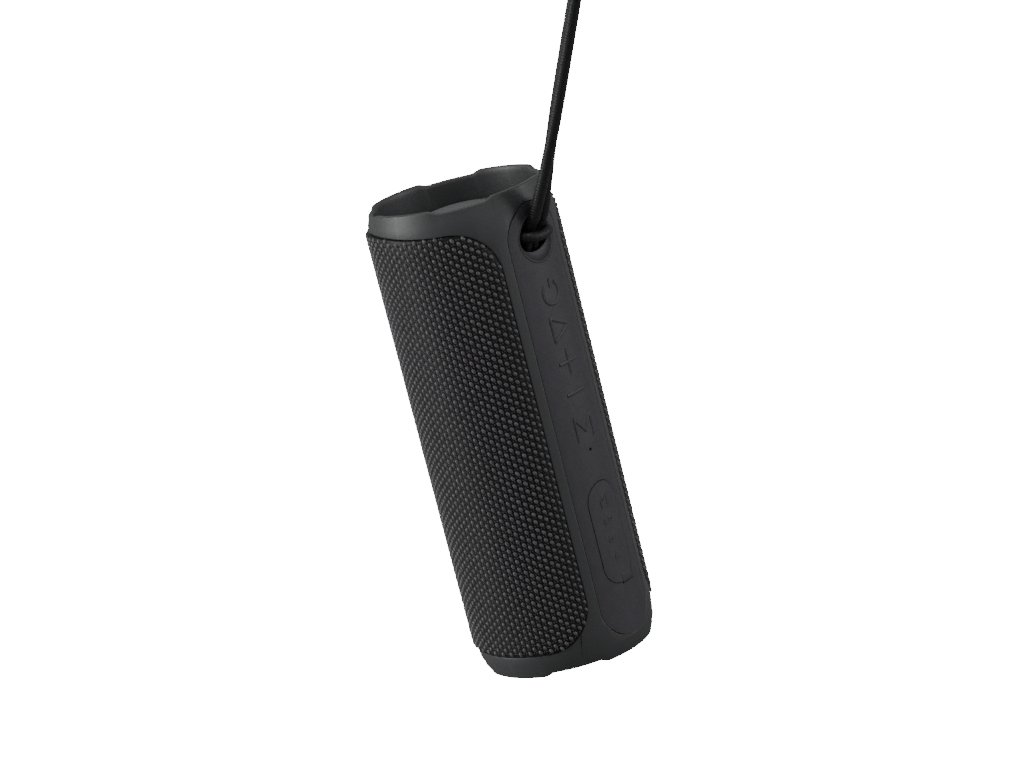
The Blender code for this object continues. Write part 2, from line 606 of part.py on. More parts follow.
def boards(green, plastic, steel):
    half = BAY_HALF - 1.2 * MM
    box("port_board", (-half, -PORT_BOARD_FACE, FLAP_LOW + 4 * MM),
        (half, -PORT_BOARD_FACE + BOARD_T, FLAP_TOP - 2 * MM), green)
    key_low, key_top = MIC_Z - 4.5 * MM, KEYS["power"] + 7 * MM
    box("key_board", (-half + MM, -KEY_BOARD_FACE, key_low), (half - MM, -KEY_BOARD_FACE + BOARD_T, key_top),
        green)
    for name, z in KEYS.items():
        switch = box(f"switch_{name}", (-2.2 * MM, -KEY_BOARD_FACE - 1.5 * MM, z - 2.2 * MM),
                     (2.2 * MM, -KEY_BOARD_FACE - GAP, z + 2.2 * MM), steel)
        button = turned(f"plunger_{name}", [(0, -0.5 * MM), (1.1 * MM, -0.5 * MM), (1.1 * MM, 0.4 * MM),
                                            (0, 0.4 * MM)],
                        place=Matrix.Translation((0, -KEY_BOARD_FACE - 1.5 * MM, z))
                        @ Matrix.Rotation(math.radians(90), 4, "X"), steps=12)
        unite(switch, button)
    box("microphone", (-1.9 * MM, -KEY_BOARD_FACE - 1.4 * MM, MIC_Z - 1.5 * MM),
        (1.9 * MM, -KEY_BOARD_FACE - GAP, MIC_Z + 1.5 * MM), steel)
    board = box("main_board", (-half, -MAIN_BOARD_FACE, key_low), (half, -MAIN_BOARD_FACE + BOARD_T, key_top),
                green)
    chip = MAIN_BOARD_FACE + GAP
    box("amplifier_chip", (-4 * MM, -chip - 1.4 * MM, 108 * MM), (4 * MM, -chip, 116 * MM), plastic)
    for index, z in enumerate((key_low + 4 * MM, key_top - 4 * MM)):
        cut(board, screw_hole(f"board_hole_{index}", -MAIN_BOARD_FACE, z, 6 * MM))
        turned(f"board_screw_{index + 1}", [
            (0, -2.6 * MM), (0.8 * MM, -2.6 * MM), (0.8 * MM, GAP), (1.6 * MM, GAP), (1.6 * MM, 1.1 * MM),
            (0, 1.1 * MM)], steel,
            Matrix.Translation((6 * MM, -MAIN_BOARD_FACE, z)) @ Matrix.Rotation(math.radians(90), 4, "X"), 12)


def battery(wrap, plastic):
    place = CELL_R + 0.4 * MM
    top = CELL_LOW + CELL_L
    for side, x in (("left", -place), ("right", place)):
        outline = [(0, CELL_LOW), (CELL_R, CELL_LOW), (CELL_R, top - 1.5 * MM),
                   (CELL_R - 0.6 * MM, top - 1.0 * MM), (3.0 * MM, top - 1.0 * MM), (3.0 * MM, top), (0, top)]
        turned(f"battery_cell_{side}", outline, wrap, Matrix.Translation((x, CELL_Y, 0)), 28)
    back = -BAY_FLOOR + 2.0 * MM + GAP
    cradle = box("battery_cradle", (-18 * MM, back, CELL_LOW + 5 * MM),
                 (18 * MM, CELL_Y - 1.5 * MM, top - 6 * MM), plastic)
    for side, x in (("left", -place), ("right", place)):
        hollow = CELL_R + GAP
        cut(cradle, turned(f"cell_cutter_{side}", [(0, 0), (hollow, 0), (hollow, LENGTH), (0, LENGTH)],
                           place=Matrix.Translation((x, CELL_Y, 0)), steps=28))
    return cradle


# ---------------------------------------------------------------- eyelet and lanyard
def eyelet(paint, steel):
    """Round dish in the panel with a pocket behind it and a steel pin across the pocket."""
    reach = CORD_D * KNOT_SQUEEZE + PIN_R + 2 * GAP
    pocket_back = PIN_Y + reach
    wide, wall = BAY_HALF - 2.1 * MM, 1.7 * MM
    highest = BAY_TOP - GAP
    front = -RING_R + DISH_DEEP - GAP
    deep = -RING_R - 5 * MM
    dish = along_y("eyelet_cup", ellipse(DISH_R, DISH_R, DISH_Z), deep, front, paint)
    keep(dish, shell("dish_trim", RING_R / 2, PANEL_R))
    block = box("eyelet_block", (-wide - wall, front - 0.6 * MM, PIN_Z - reach - MM),
                (wide + wall, pocket_back + 1.2 * MM, min(PIN_Z + reach + MM, highest)))
    keep(block, shell("block_trim", RING_R / 4, HOUSING_R + 0.1 * MM))
    neck = [(x, min(z, highest)) for x, z in ellipse(DISH_R - 0.1 * MM, DISH_R - 0.1 * MM, DISH_Z)]
    unite(dish, block, along_y("eyelet_neck", neck, front - 0.5 * MM, front + 1.5 * MM))
    facing_front = Matrix.Rotation(math.radians(90), 4, "X")
    lip = DISH_R - 0.6 * MM
    bowl = turned("bowl_cutter", [(0, 0), (lip - 2.4 * MM, 0), (lip, 1.8 * MM), (lip, 9 * MM), (0, 9 * MM)],
                  place=Matrix.Translation((0, front - 0.7 * MM, DISH_Z)) @ facing_front, phase=0.5)
    mouth = along_y("mouth_of_pocket", ellipse(wide + 0.2 * MM, reach + 0.3 * MM, PIN_Z + MM, 28),
                    deep, front + 1.5 * MM)
    pocket = box("pocket_of_pin", (-wide, front + 0.5 * MM, PIN_Z - reach),
                 (wide, pocket_back, min(PIN_Z + reach, highest) - 0.2 * MM))
    across = Matrix.Translation((0, PIN_Y, PIN_Z)) @ Matrix.Rotation(math.radians(90), 4, "Y")
    bore = turned("pin_bore", [(0, -20 * MM), (PIN_R + GAP, -20 * MM), (PIN_R + GAP, 20 * MM), (0, 20 * MM)],
                  place=across, steps=20)
    cut(dish, bowl, mouth, pocket, bore)
    length = wide + wall - 0.2 * MM
    turned("lanyard_pin", [(0, -length), (PIN_R, -length), (PIN_R, length), (0, length)], steel, across, 16)


def smooth_route(points, longest=5.5 * MM):
    """Catmull-Rom curve through (x, y, z, width) points, with steps no longer than asked."""
    padded = [points[0]] + points + [points[-1]]
    route = []
    for a, b, c, d in zip(padded, padded[1:], padded[2:], padded[3:]):
        steps = max(1, math.ceil((Vector(c).xyz - Vector(b).xyz).length / longest))
        for i in range(steps):
            t = i / steps
            weights = (-t ** 3 + 2 * t * t - t, 3 * t ** 3 - 5 * t * t + 2,
                       -3 * t ** 3 + 4 * t * t + t, t ** 3 - t * t)
            blend = [Vector(p) * w for p, w in zip((a, b, c, d), weights)]
            route.append(sum(blend, Vector((0, 0, 0, 0))) / 2)
    return route + [Vector(points[-1])]


def cord(name, points, paint):
    curve = bpy.data.curves.new(name, "CURVE")
    curve.dimensions = "3D"
    curve.bevel_depth = CORD_D / 2
    curve.bevel_resolution = 2
    curve.use_fill_caps = True
    spline = curve.splines.new("POLY")
    route = smooth_route(points)
    spline.points.add(len(route) - 1)
    for place, (x, y, z, width) in zip(spline.points, route):
        place.co = (x, y, z, 1.0)
        place.radius = width
    curve.materials.append(paint)
    made = bpy.data.objects.new(name, curve)
    bpy.context.scene.collection.objects.link(made)
    return made


def lanyard(paint):
    """A doubled cord tied over the pin: two strands come up in front and the bight crosses over them."""
    thin = KNOT_SQUEEZE
    wrap = PIN_R + GAP + CORD_D * thin / 2
    lean = math.radians(LEAN)
    anchor = Vector((0, -38.7 * MM, 172.0 * MM))
    rise = Vector((0, -math.sin(lean), math.cos(lean)))
    side = CORD_D * thin / 2 + 0.14 * MM

    def strand(sign):
        """From behind the pin, under it and up to where the two strands part."""
        points = []
        for turn in (0, 10, 35, 62, 90, 122):
            t = math.radians(turn)
            points.append((sign * side, PIN_Y + wrap * math.cos(t), PIN_Z - wrap * math.sin(t), thin))
        points.append((sign * side, -33.4 * MM, 165.3 * MM, thin))
        points.append((sign * 2.3 * MM, -36.0 * MM, 168.8 * MM, 0.95))
        for far, turn in ((0, 0), (12, 20), (26, 38), (42, 44), (60, 44), (78, 44), (94, 44)):
            t = math.radians(turn)
            centre = anchor + rise * far * MM
            apart = Vector((math.cos(t), math.sin(t) * math.cos(lean), math.sin(t) * math.sin(lean)))
            points.append((*(centre + apart * sign * 2.35 * MM), 1.0))
        return points

    def loop_point(far, out):
        t = math.radians(44)
        apart = Vector((math.cos(t), math.sin(t) * math.cos(lean), math.sin(t) * math.sin(lean)))
        return (*(anchor + rise * far * MM + apart * out * MM), 1.0)

    crown = [loop_point(104, -3.6), loop_point(113, -7.6), loop_point(122, -9.4), loop_point(130, -6.6),
             loop_point(133.5, 0), loop_point(130, 6.6), loop_point(122, 9.4), loop_point(113, 7.6),
             loop_point(104, 3.6)]
    cord("lanyard", strand(-1) + crown + list(reversed(strand(1))), paint)

    leg = 6.0 * MM
    half = []
    for turn, x in ((16, side), (25, side + 0.2 * MM), (45, side + 1.5 * MM), (66, side + 2.9 * MM),
                    (88, leg - 0.3 * MM), (110, leg)):
        t = math.radians(turn)
        half.append((-x, PIN_Y + wrap * math.cos(t), PIN_Z + wrap * math.sin(t), thin))
    half += [(-leg, -31.4 * MM, 164.6 * MM, thin), (-leg + 0.1 * MM, -34.2 * MM, 164.4 * MM, thin),
             (-4.9 * MM, -36.5 * MM, 164.1 * MM, thin), (-2.6 * MM, -37.5 * MM, 163.8 * MM, thin)]
    middle = [(0, -37.7 * MM, 163.7 * MM, thin)]
    other = [(-x, y, z, w) for x, y, z, w in reversed(half)]
    cord("lanyard_bight", half + middle + other, paint)


def build():
    for old in list(bpy.data.objects):
        bpy.data.objects.remove(old, do_unlink=True)
    soft = material("soft_touch_grey", SOFT_BLACK, 0.55)
    panel = material("panel_rubber", PANEL_BLACK, 0.6)
    plastic = material("inner_plastic", DARK_PLASTIC, 0.5)
    rubber = material("rubber", RUBBER, 0.7)
    cloth = material("grille_fabric", FABRIC, 0.9)
    steel = material("steel", STEEL, 0.35, 1.0)
    nickel = material("nickel_shell", NICKEL, 0.3, 1.0)
    green = material("circuit_board", BOARD_GREEN, 0.5)
    braid = material("braided_cord", CORD_BLACK, 0.85)
    wrap = material("cell_wrap", CELL_WRAP, 0.4)

    spine_frame(soft)
    rear_ring("rear_ring_top", True, soft)
    rear_ring("rear_ring_bottom", False, soft)
    grille(plastic)
    window_solid("grille_fabric", FABRIC_R - FABRIC_T, FABRIC_R, GAP, cloth)
    inner_housing(plastic)
    radiator("top", True, rubber, steel, plastic)
    radiator("bottom", False, rubber, steel, plastic)
    driver(steel, rubber)
    control_panel(panel)
    for name, z in KEYS.items():
        key_disc(f"key_{name}", z, KEY_RADII[name], panel)
    port_flap(panel)
    port_tray(plastic)
    for name in PORTS:
        socket(name, nickel if "usb" in name else plastic)
    boards(green, plastic, steel)
    battery(wrap, plastic)
    eyelet(panel, steel)
    lanyard(braid)


build()
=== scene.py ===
"""Looks for a cylindrical shower speaker: frame, knit cover, rubber panel, port flap, end cups and lanyard."""
import json
import math

import bmesh
import bpy
import numpy as np
from mathutils import Matrix, Vector

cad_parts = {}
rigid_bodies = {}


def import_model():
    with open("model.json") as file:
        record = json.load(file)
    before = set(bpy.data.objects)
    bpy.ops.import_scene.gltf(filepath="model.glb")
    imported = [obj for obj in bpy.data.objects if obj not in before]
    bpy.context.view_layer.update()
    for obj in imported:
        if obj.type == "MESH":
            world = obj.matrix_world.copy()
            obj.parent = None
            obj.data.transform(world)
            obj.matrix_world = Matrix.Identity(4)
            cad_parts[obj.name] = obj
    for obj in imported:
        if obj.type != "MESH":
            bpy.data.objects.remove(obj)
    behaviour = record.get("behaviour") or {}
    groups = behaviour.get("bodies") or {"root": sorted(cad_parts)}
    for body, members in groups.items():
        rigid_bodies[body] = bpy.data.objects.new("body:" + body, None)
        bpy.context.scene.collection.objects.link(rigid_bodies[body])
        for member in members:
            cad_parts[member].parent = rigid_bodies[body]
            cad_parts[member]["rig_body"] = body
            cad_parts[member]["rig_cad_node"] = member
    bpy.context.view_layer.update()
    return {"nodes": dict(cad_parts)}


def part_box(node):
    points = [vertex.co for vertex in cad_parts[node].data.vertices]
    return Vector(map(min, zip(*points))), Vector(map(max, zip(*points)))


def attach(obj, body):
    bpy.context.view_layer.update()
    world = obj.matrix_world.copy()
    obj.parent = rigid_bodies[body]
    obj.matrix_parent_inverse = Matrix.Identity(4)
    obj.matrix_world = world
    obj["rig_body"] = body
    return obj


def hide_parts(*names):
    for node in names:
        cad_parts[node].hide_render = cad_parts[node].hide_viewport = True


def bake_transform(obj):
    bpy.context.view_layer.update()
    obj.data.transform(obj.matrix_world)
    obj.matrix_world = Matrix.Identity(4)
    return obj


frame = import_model()

MM = 0.001

# places read from the frame
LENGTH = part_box("spine_frame")[1].z
PANEL_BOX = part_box("control_panel")
PANEL_R = -PANEL_BOX[0].y
RING_R = PANEL_R + 0.2 * MM   # the panel lies a little below the ring's face
FLAP_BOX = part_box("port_flap")
PIN_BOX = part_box("lanyard_pin")
PIN_Z = (PIN_BOX[0].z + PIN_BOX[1].z) / 2
PIN_Y = (PIN_BOX[0].y + PIN_BOX[1].y) / 2
PIN_R = (PIN_BOX[1].z - PIN_BOX[0].z) / 2
GAP = 0.3 * MM

# rings
RIM_R = RING_R - 1.9 * MM
CUP_R = RING_R - 4.2 * MM
WALL = 1.9 * MM
SHOULDER = 12.7 * MM
NOTCH_DEPTH = 1.3 * MM
NOTCH_FLAT = 15.0         # half width of a notch, degrees
NOTCH_RAMP = 7.5
RING_STEPS = 240
SEAM = 0.08 * MM          # parting line between the front and rear ring halves
EDGE_ROUND = 0.42 * MM    # along the window's and the panel's openings
CUTTER_DEPTH = 8 * MM     # cutters of the frame, half of it outside the ring's face

# fabric window
SPINE_HALF = 29.8         # degrees
EDGE_LOW = 9.3 * MM
EDGE_TOP_FRONT = 9.8 * MM
EDGE_TOP_REAR = 7.0 * MM
CORNER_R = 18.0 * MM

# knit
COVER_R = RING_R + 0.35 * MM
COVER_T = 0.5 * MM
WALE = 2.07 * MM          # spacing of the knit's columns round the body
COURSE = 3.05 * MM        # spacing of the loops along a column
LOOP_WIDE, LOOP_TALL, LOOP_RISE = 1.10, 0.72, 0.72     # half sizes and height, mm
LOOP_TILT = -62           # degrees
BORDER_DIP = 0.55 * MM    # how far the cloth dips under the frame at its border
BORDER_REACH = 2.2 * MM   # how far in from the border the dip starts

# control panel
PANEL_HALF = math.asin(PANEL_BOX[1].x / PANEL_R) * RING_R
PANEL_T = 1.6 * MM
DISH_R = 9.4 * MM
DISH_Z = PIN_Z + 0.7 * MM
DISH_RIM_R = DISH_R - 0.03 * MM
HAIRLINE = 0.008 * MM
PANEL_GAP = 0.12 * MM     # between the panel and its opening
RIB = 0.68 * MM           # half width of a raised symbol line
REACH = 45 * MM           # how far forwards the panel's cutters run from the body's axis
KEYS = ("power", "play", "plus", "minus", "mode")

# port flap
TAB_W = 6.2 * MM
TAB_DROP = 0.7 * MM       # how far the pull tab reaches below the flap
FLAP_FOOT = FLAP_BOX[0].z + TAB_DROP
FLAP_TOP = FLAP_BOX[1].z
FLAP_HALF = FLAP_BOX[1].x
FLAP_MARGIN = 0.05 * MM   # by which the flap's face is larger than its node
FLAP_PROUD = 0.12 * MM

# lanyard
CORD_D = 4.4 * MM
KNOT_SQUEEZE = 0.87
LEAN = 28.0
BRAID_STEP = 0.26 * MM
BRAID_SIDES = 40
BRAID_STRANDS = 8         # each way round
BRAID_PITCH = 2.3 * MM
BRAID_RELIEF = 0.11 * MM
CORD_SINK = 0.10 * MM     # leaves the strands' crests about at the cord's diameter

# camera
AZIMUTH, ELEVATION, ROLL = 46.4, 14.79, 14.33      # degrees
CAMERA_DISTANCE = 1.1085
LENS = 103.1

# studio
WHITE = 30.0              # brightness of the paper and surroundings as the camera sees them
PAPER = (0.25, 0.25, 0.25, 1)
SOFT_LIGHT = 0.45         # strength of the surroundings on the speaker itself


# ---- modelling helpers
def deselect_objects():
    bpy.ops.object.select_all(action="DESELECT")


def activate(thing):
    deselect_objects()
    thing.select_set(True)
    bpy.context.view_layer.objects.active = thing


def named(name):
    made = bpy.context.object
    made.name = name
    made.data.name = name
    return made


def edit(thing):
    activate(thing)
    bpy.ops.object.mode_set(mode="EDIT")
    return bmesh.from_edit_mesh(thing.data)


def leave_edit():
    bpy.ops.object.mode_set(mode="OBJECT")


def select_all():
    """Select the whole mesh, in edit mode."""
    bpy.ops.mesh.select_all(action="SELECT")


def linked(name, data):
    made = bpy.data.objects.new(name, data)
    bpy.context.scene.collection.objects.link(made)
    return made


def mesh_piece(name, verts, faces, uvs):
    """Object from points and faces, with one (u, v) for each corner of each face in turn."""
    mesh = bpy.data.meshes.new(name)
    mesh.from_pydata(verts, [], faces)
    layer = mesh.uv_layers.new(name="UVMap")
    layer.data.foreach_set("uv", [value for pair in uvs for value in pair])
    return linked(name, mesh)


def bring_forward(thing, distance):
    for vert in thing.data.vertices:
        vert.co.y -= distance


def select_verts(thing, wanted):
    """Select the vertices for which wanted(co) holds, in edit mode."""
    shape = bmesh.from_edit_mesh(thing.data)
    for vert in shape.verts:
        vert.select = wanted(vert.co)
    shape.select_flush_mode()
    bmesh.update_edit_mesh(thing.data)


def add_modifier(thing, kind, **settings):
    change = thing.modifiers.new(kind.lower(), kind)
    for key, value in settings.items():
        setattr(change, key, value)
    return change


def apply_modifiers(thing):
    activate(thing)
    for change in list(thing.modifiers):
        bpy.ops.object.modifier_apply(modifier=change.name)


def boolean(thing, tools, operation="DIFFERENCE"):
    for tool in tools:
        add_modifier(thing, "BOOLEAN", operation=operation, object=tool, solver="EXACT")
    apply_modifiers(thing)
    for tool in tools:
        bpy.data.objects.remove(tool)


def join(first, *others):
    activate(first)
    for other in others:
        other.select_set(True)
    bpy.ops.object.join()
    return first


def copied(thing, name):
    made = thing.copy()
    made.data = thing.data.copy()
    made.name = name
    made.data.name = name
    bpy.context.scene.collection.objects.link(made)
    return made


def place_in_mesh(thing):
    activate(thing)
    bpy.ops.object.transform_apply(location=True, rotation=True, scale=True)


def smooth(thing, angle=32):
    activate(thing)
    bpy.ops.object.shade_smooth_by_angle(angle=math.radians(angle))


def merged(thing, distance=1e-6):
    edit(thing)
    select_all()
    bpy.ops.mesh.remove_doubles(threshold=distance)
    bpy.ops.mesh.normals_make_consistent(inside=False)
    leave_edit()


def lathe(name, outline, steps=96, closed=True, place=None):
    """Draw a ring of edges along an outline of (radius, height), resizing it at each step."""
    deselect_objects()
    radius, height = outline[0]
    bpy.ops.mesh.primitive_circle_add(vertices=steps, radius=radius, location=(0, 0, height))
    made = named(name)
    place_in_mesh(made)
    edit(made)
    select_all()
    follow = outline[1:] + ([outline[0]] if closed else [])
    for (r0, h0), (r1, h1) in zip(outline, follow):
        bpy.ops.mesh.extrude_region_move(TRANSFORM_OT_translate={"value": (0, 0, h1 - h0)})
        bpy.ops.transform.resize(value=(r1 / r0, r1 / r0, 1), center_override=(0, 0, h1))
    select_all()
    bpy.ops.mesh.remove_doubles(threshold=1e-6)
    if not closed:
        bpy.ops.mesh.fill_holes(sides=0)
        select_all()
    bpy.ops.mesh.normals_make_consistent(inside=False)
    leave_edit()
    if place:
        made.matrix_world = place
        place_in_mesh(made)
    return made


def stadium(name, half, low, high, depth, rounding=0.0, corner_steps=14):
    """Flat upright plate with round ends: its face at y = 0, its back at y = depth."""
    deselect_objects()
    bpy.ops.mesh.primitive_circle_add(vertices=4 * corner_steps, radius=half, fill_type="NGON",
                                      rotation=(math.pi / 2, 0, 0))
    made = named(name)
    place_in_mesh(made)
    edit(made)
    for above, shift in ((True, high - half), (False, low + half)):
        select_verts(made, lambda co, above=above: (co.z > -1e-7) == above)
        bpy.ops.transform.translate(value=(0, 0, shift))
    select_all()
    bpy.ops.mesh.extrude_region_move(TRANSFORM_OT_translate={"value": (0, depth, 0)})
    select_all()
    bpy.ops.mesh.normals_make_consistent(inside=False)
    if rounding:
        shape = bmesh.from_edit_mesh(made.data)
        bpy.ops.mesh.select_all(action="DESELECT")
        for line in shape.edges:
            line.select = all(abs(v.co.y) < 1e-7 for v in line.verts)
        bmesh.update_edit_mesh(made.data)
        bpy.ops.mesh.bevel(offset=rounding, segments=4, affect="EDGES", clamp_overlap=False)
    leave_edit()
    return made


def slice_columns(thing, pitch, offset=0.0):
    """Cut flat work into upright strips so that it can follow the body's curve."""
    places = [v.co.x for v in thing.data.vertices]
    first = math.ceil((min(places) - offset) / pitch)
    last = math.floor((max(places) - offset) / pitch)
    edit(thing)
    for step in range(first, last + 1):
        select_all()
        bpy.ops.mesh.bisect(plane_co=(offset + step * pitch, 0, 0), plane_no=(1, 0, 0))
    leave_edit()


def wrap(thing, radius, facing=0.0):
    """Roll flat work round the body: x becomes arc length at the ring's radius, y depth below radius."""
    for vert in thing.data.vertices:
        x, y, z = vert.co
        angle = math.radians(facing) + x / RING_R
        vert.co = ((radius - y) * math.sin(angle), -(radius - y) * math.cos(angle), z)


def drape(thing, radius):
    """Lay flat work on the front of the body, leaving its sides straight along Y."""
    for vert in thing.data.vertices:
        vert.co.y -= math.sqrt(radius ** 2 - vert.co.x ** 2)


def tube_along(name, points, half, flat=1.0):
    """Round rib on the face of flat work through (x, z) points, pressed to a share of its height."""
    curve = bpy.data.curves.new(name, "CURVE")
    curve.dimensions = "3D"
    curve.bevel_depth = half
    curve.bevel_resolution = 3
    curve.use_fill_caps = True
    spline = curve.splines.new("POLY")
    closed = points[0] == points[-1]
    points = points[:-1] if closed else points
    spline.points.add(len(points) - 1)
    for place, (x, z) in zip(spline.points, points):
        place.co = (x, 0, z, 1)
    spline.use_cyclic_u = closed
    made = linked(name, curve)
    activate(made)
    bpy.ops.object.convert(target="MESH")
    made = bpy.context.object
    made.scale = (1, flat, 1)
    place_in_mesh(made)
    return made


def fine_steps(points, longest=0.8 * MM):
    """Points along straight lines, close enough together to follow the body's curve."""
    made = [points[0]]
    for (x0, z0), (x1, z1) in zip(points, points[1:]):
        count = max(1, math.ceil(math.hypot(x1 - x0, z1 - z0) / longest))
        made += [(x0 + (x1 - x0) * i / count, z0 + (z1 - z0) * i / count) for i in range(1, count)]
        made.append((x1, z1))
    return made


def arc(radius, start, end, steps=24, centre=(0, 0)):
    turns = [math.radians(start + (end - start) * i / steps) for i in range(steps + 1)]
    return [(centre[0] + radius * math.sin(t), centre[1] + radius * math.cos(t)) for t in turns]


def polished(node, name, rounding, angle=38):
    """Clean copy of a frame node with rounded edges."""
    made = copied(frame["nodes"][node], name)
    made.parent = None
    made.data.materials.clear()
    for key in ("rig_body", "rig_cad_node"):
        del made[key]
    merged(made, 2e-6)
    edit(made)
    select_all()
    bpy.ops.mesh.dissolve_limited(angle_limit=math.radians(1.0))
    leave_edit()
    if rounding:
        add_modifier(made, "BEVEL", width=rounding, segments=2, limit_method="ANGLE",
                     angle_limit=math.radians(angle), use_clamp_overlap=True)
        apply_modifiers(made)
    smooth(made, angle)
    return made


def settle(thing, body, slot, material, *stands_for):
    """Give a finished piece its material and its body, and hide the nodes that it stands for. The slot argument
    is not used.
    """
    thing.data.materials.clear()
    thing.data.materials.append(material)
    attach(thing, body)
    if stands_for:
        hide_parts(*stands_for)
    return thing


# ---- shader groups and materials
def new_group(name, inputs, outputs):
    group = bpy.data.node_groups.new(name, "ShaderNodeTree")
    for label, kind, value in inputs:
        socket = group.interface.new_socket(label, in_out="INPUT", socket_type=kind)
        socket.default_value = value
    for label, kind in outputs:
        group.interface.new_socket(label, in_out="OUTPUT", socket_type=kind)
    return group, group.nodes.new("NodeGroupInput"), group.nodes.new("NodeGroupOutput")


def put(tree, kind, inputs=None, **settings):
    """Add a node, set its properties, then its inputs by value or by link."""
    node = tree.nodes.new(kind)
    for key, value in settings.items():
        setattr(node, key, value)
    for key, value in (inputs or {}).items():
        if isinstance(value, bpy.types.NodeSocket):
            tree.links.new(value, node.inputs[key])
        else:
            node.inputs[key].default_value = value
    return node


def calc(tree, operation, *values):
    """Output of a math node."""
    return put(tree, "ShaderNodeMath", dict(enumerate(values)), operation=operation).outputs[0]


def remap(tree, value, *limits):
    """Output of a map range node: from low, from high, to low and to high."""
    return put(tree, "ShaderNodeMapRange", dict(enumerate((value, *limits)))).outputs[0]


def noise(tree, place, scale, detail, **more):
    inputs = {"Vector": place, "Scale": scale, "Detail": detail, **more}
    return put(tree, "ShaderNodeTexNoise", inputs).outputs["Fac"]


def colour_mix(tree, blend, share, a, b):
    node = tree.nodes.new("ShaderNodeMix")
    node.data_type = "RGBA"
    node.blend_type = blend
    for index, value in ((0, share), (6, a), (7, b)):
        if isinstance(value, bpy.types.NodeSocket):
            tree.links.new(value, node.inputs[index])
        else:
            node.inputs[index].default_value = value
    return node.outputs[2]


def moulded_group():
    """Moulded or cast surface: slow tone changes, uneven gloss and a fine grain."""
    group, given, out = new_group(
        "moulded_surface",
        [("Colour", "NodeSocketColor", (0.05, 0.05, 0.05, 1)), ("Mottle", "NodeSocketFloat", 0.1),
         ("Roughness", "NodeSocketFloat", 0.5), ("Unevenness", "NodeSocketFloat", 0.1),
         ("Grain Scale", "NodeSocketFloat", 2500.0), ("Dust", "NodeSocketFloat", 0.1)],
        [("Colour", "NodeSocketColor"), ("Roughness", "NodeSocketFloat"), ("Height", "NodeSocketFloat")])
    place = put(group, "ShaderNodeTexCoord").outputs["Object"]
    slow = noise(group, place, 38.0, 4.0)
    fine = noise(group, place, given.outputs["Grain Scale"], 3.0, Roughness=0.6)
    cells = put(group, "ShaderNodeTexVoronoi", {"Vector": place, "Scale": given.outputs["Grain Scale"]})
    centred = calc(group, "SUBTRACT", slow, 0.5)
    swing = calc(group, "MULTIPLY_ADD", centred, given.outputs["Mottle"], 1.0)
    toned = colour_mix(group, "MULTIPLY", 1.0, given.outputs["Colour"], swing)
    mask = remap(group, noise(group, place, 1400.0, 2.0), 0.66, 0.74, 0.0, 1.0)
    dusted = colour_mix(group, "MIX", calc(group, "MULTIPLY", mask, given.outputs["Dust"]), toned,
                        (0.20, 0.20, 0.21, 1))
    gloss = calc(group, "MULTIPLY_ADD", centred, given.outputs["Unevenness"], given.outputs["Roughness"])
    height = calc(group, "MULTIPLY_ADD", cells.outputs["Distance"], 0.6, fine)
    group.links.new(dusted, out.inputs["Colour"])
    group.links.new(gloss, out.inputs["Roughness"])
    group.links.new(height, out.inputs["Height"])
    return group


def edge_wear_group():
    """Corners rubbed lighter and smoother by handling."""
    group, given, out = new_group(
        "edge_wear",
        [("Colour", "NodeSocketColor", (0.05, 0.05, 0.05, 1)), ("Worn", "NodeSocketColor", (0.1, 0.1, 0.1, 1)),
         ("Amount", "NodeSocketFloat", 0.5), ("Roughness", "NodeSocketFloat", 0.5)],
        [("Colour", "NodeSocketColor"), ("Roughness", "NodeSocketFloat")])
    sharp = put(group, "ShaderNodeNewGeometry").outputs["Pointiness"]
    edge = remap(group, sharp, 0.52, 0.60, 0.0, 1.0)
    place = put(group, "ShaderNodeTexCoord").outputs["Object"]
    broken = remap(group, noise(group, place, 220.0, 3.0), 0.3, 0.6, 0.35, 1.0)
    share = calc(group, "MULTIPLY", calc(group, "MULTIPLY", edge, broken), given.outputs["Amount"])
    group.links.new(colour_mix(group, "MIX", share, given.outputs["Colour"], given.outputs["Worn"]),
                    out.inputs["Colour"])
    smoother = calc(group, "MULTIPLY_ADD", share, -0.12, given.outputs["Roughness"])
    group.links.new(smoother, out.inputs["Roughness"])
    return group


def filament_group():
    """Fine filaments running along a yarn, from the piece's own UV map: u across, v along."""
    group, given, out = new_group(
        "filaments",
        [("Colour", "NodeSocketColor", (0.05, 0.05, 0.05, 1)), ("Light", "NodeSocketColor", (0.1, 0.1, 0.1, 1)),
         ("Across", "NodeSocketFloat", 4000.0), ("Along", "NodeSocketFloat", 600.0)],
        [("Colour", "NodeSocketColor"), ("Height", "NodeSocketFloat"), ("Roughness", "NodeSocketFloat")])
    place = put(group, "ShaderNodeTexCoord").outputs["UV"]
    parts = put(group, "ShaderNodeSeparateXYZ", {0: place})
    u = calc(group, "MULTIPLY", parts.outputs[0], given.outputs["Across"])
    v = calc(group, "MULTIPLY", parts.outputs[1], given.outputs["Along"])
    strands = noise(group, put(group, "ShaderNodeCombineXYZ", {0: u, 1: v}).outputs[0], 1.0, 3.0)
    share = remap(group, strands, 0.42, 0.72, 0.0, 1.0)
    group.links.new(colour_mix(group, "MIX", share, given.outputs["Colour"], given.outputs["Light"]),
                    out.inputs["Colour"])
    group.links.new(strands, out.inputs["Height"])
    gloss = remap(group, strands, 0.2, 0.8, 0.62, 0.42)
    group.links.new(gloss, out.inputs["Roughness"])
    return group


MOULDED = moulded_group()
EDGE_WEAR = edge_wear_group()
FILAMENTS = filament_group()


def started(name, metallic=0.0, **constants):
    made = bpy.data.materials.new(name)
    made.use_nodes = True
    shader = made.node_tree.nodes["Principled BSDF"]
    shader.inputs["Metallic"].default_value = metallic
    for label, value in constants.items():
        shader.inputs[label.replace("_", " ")].default_value = value
    return made, made.node_tree, shader


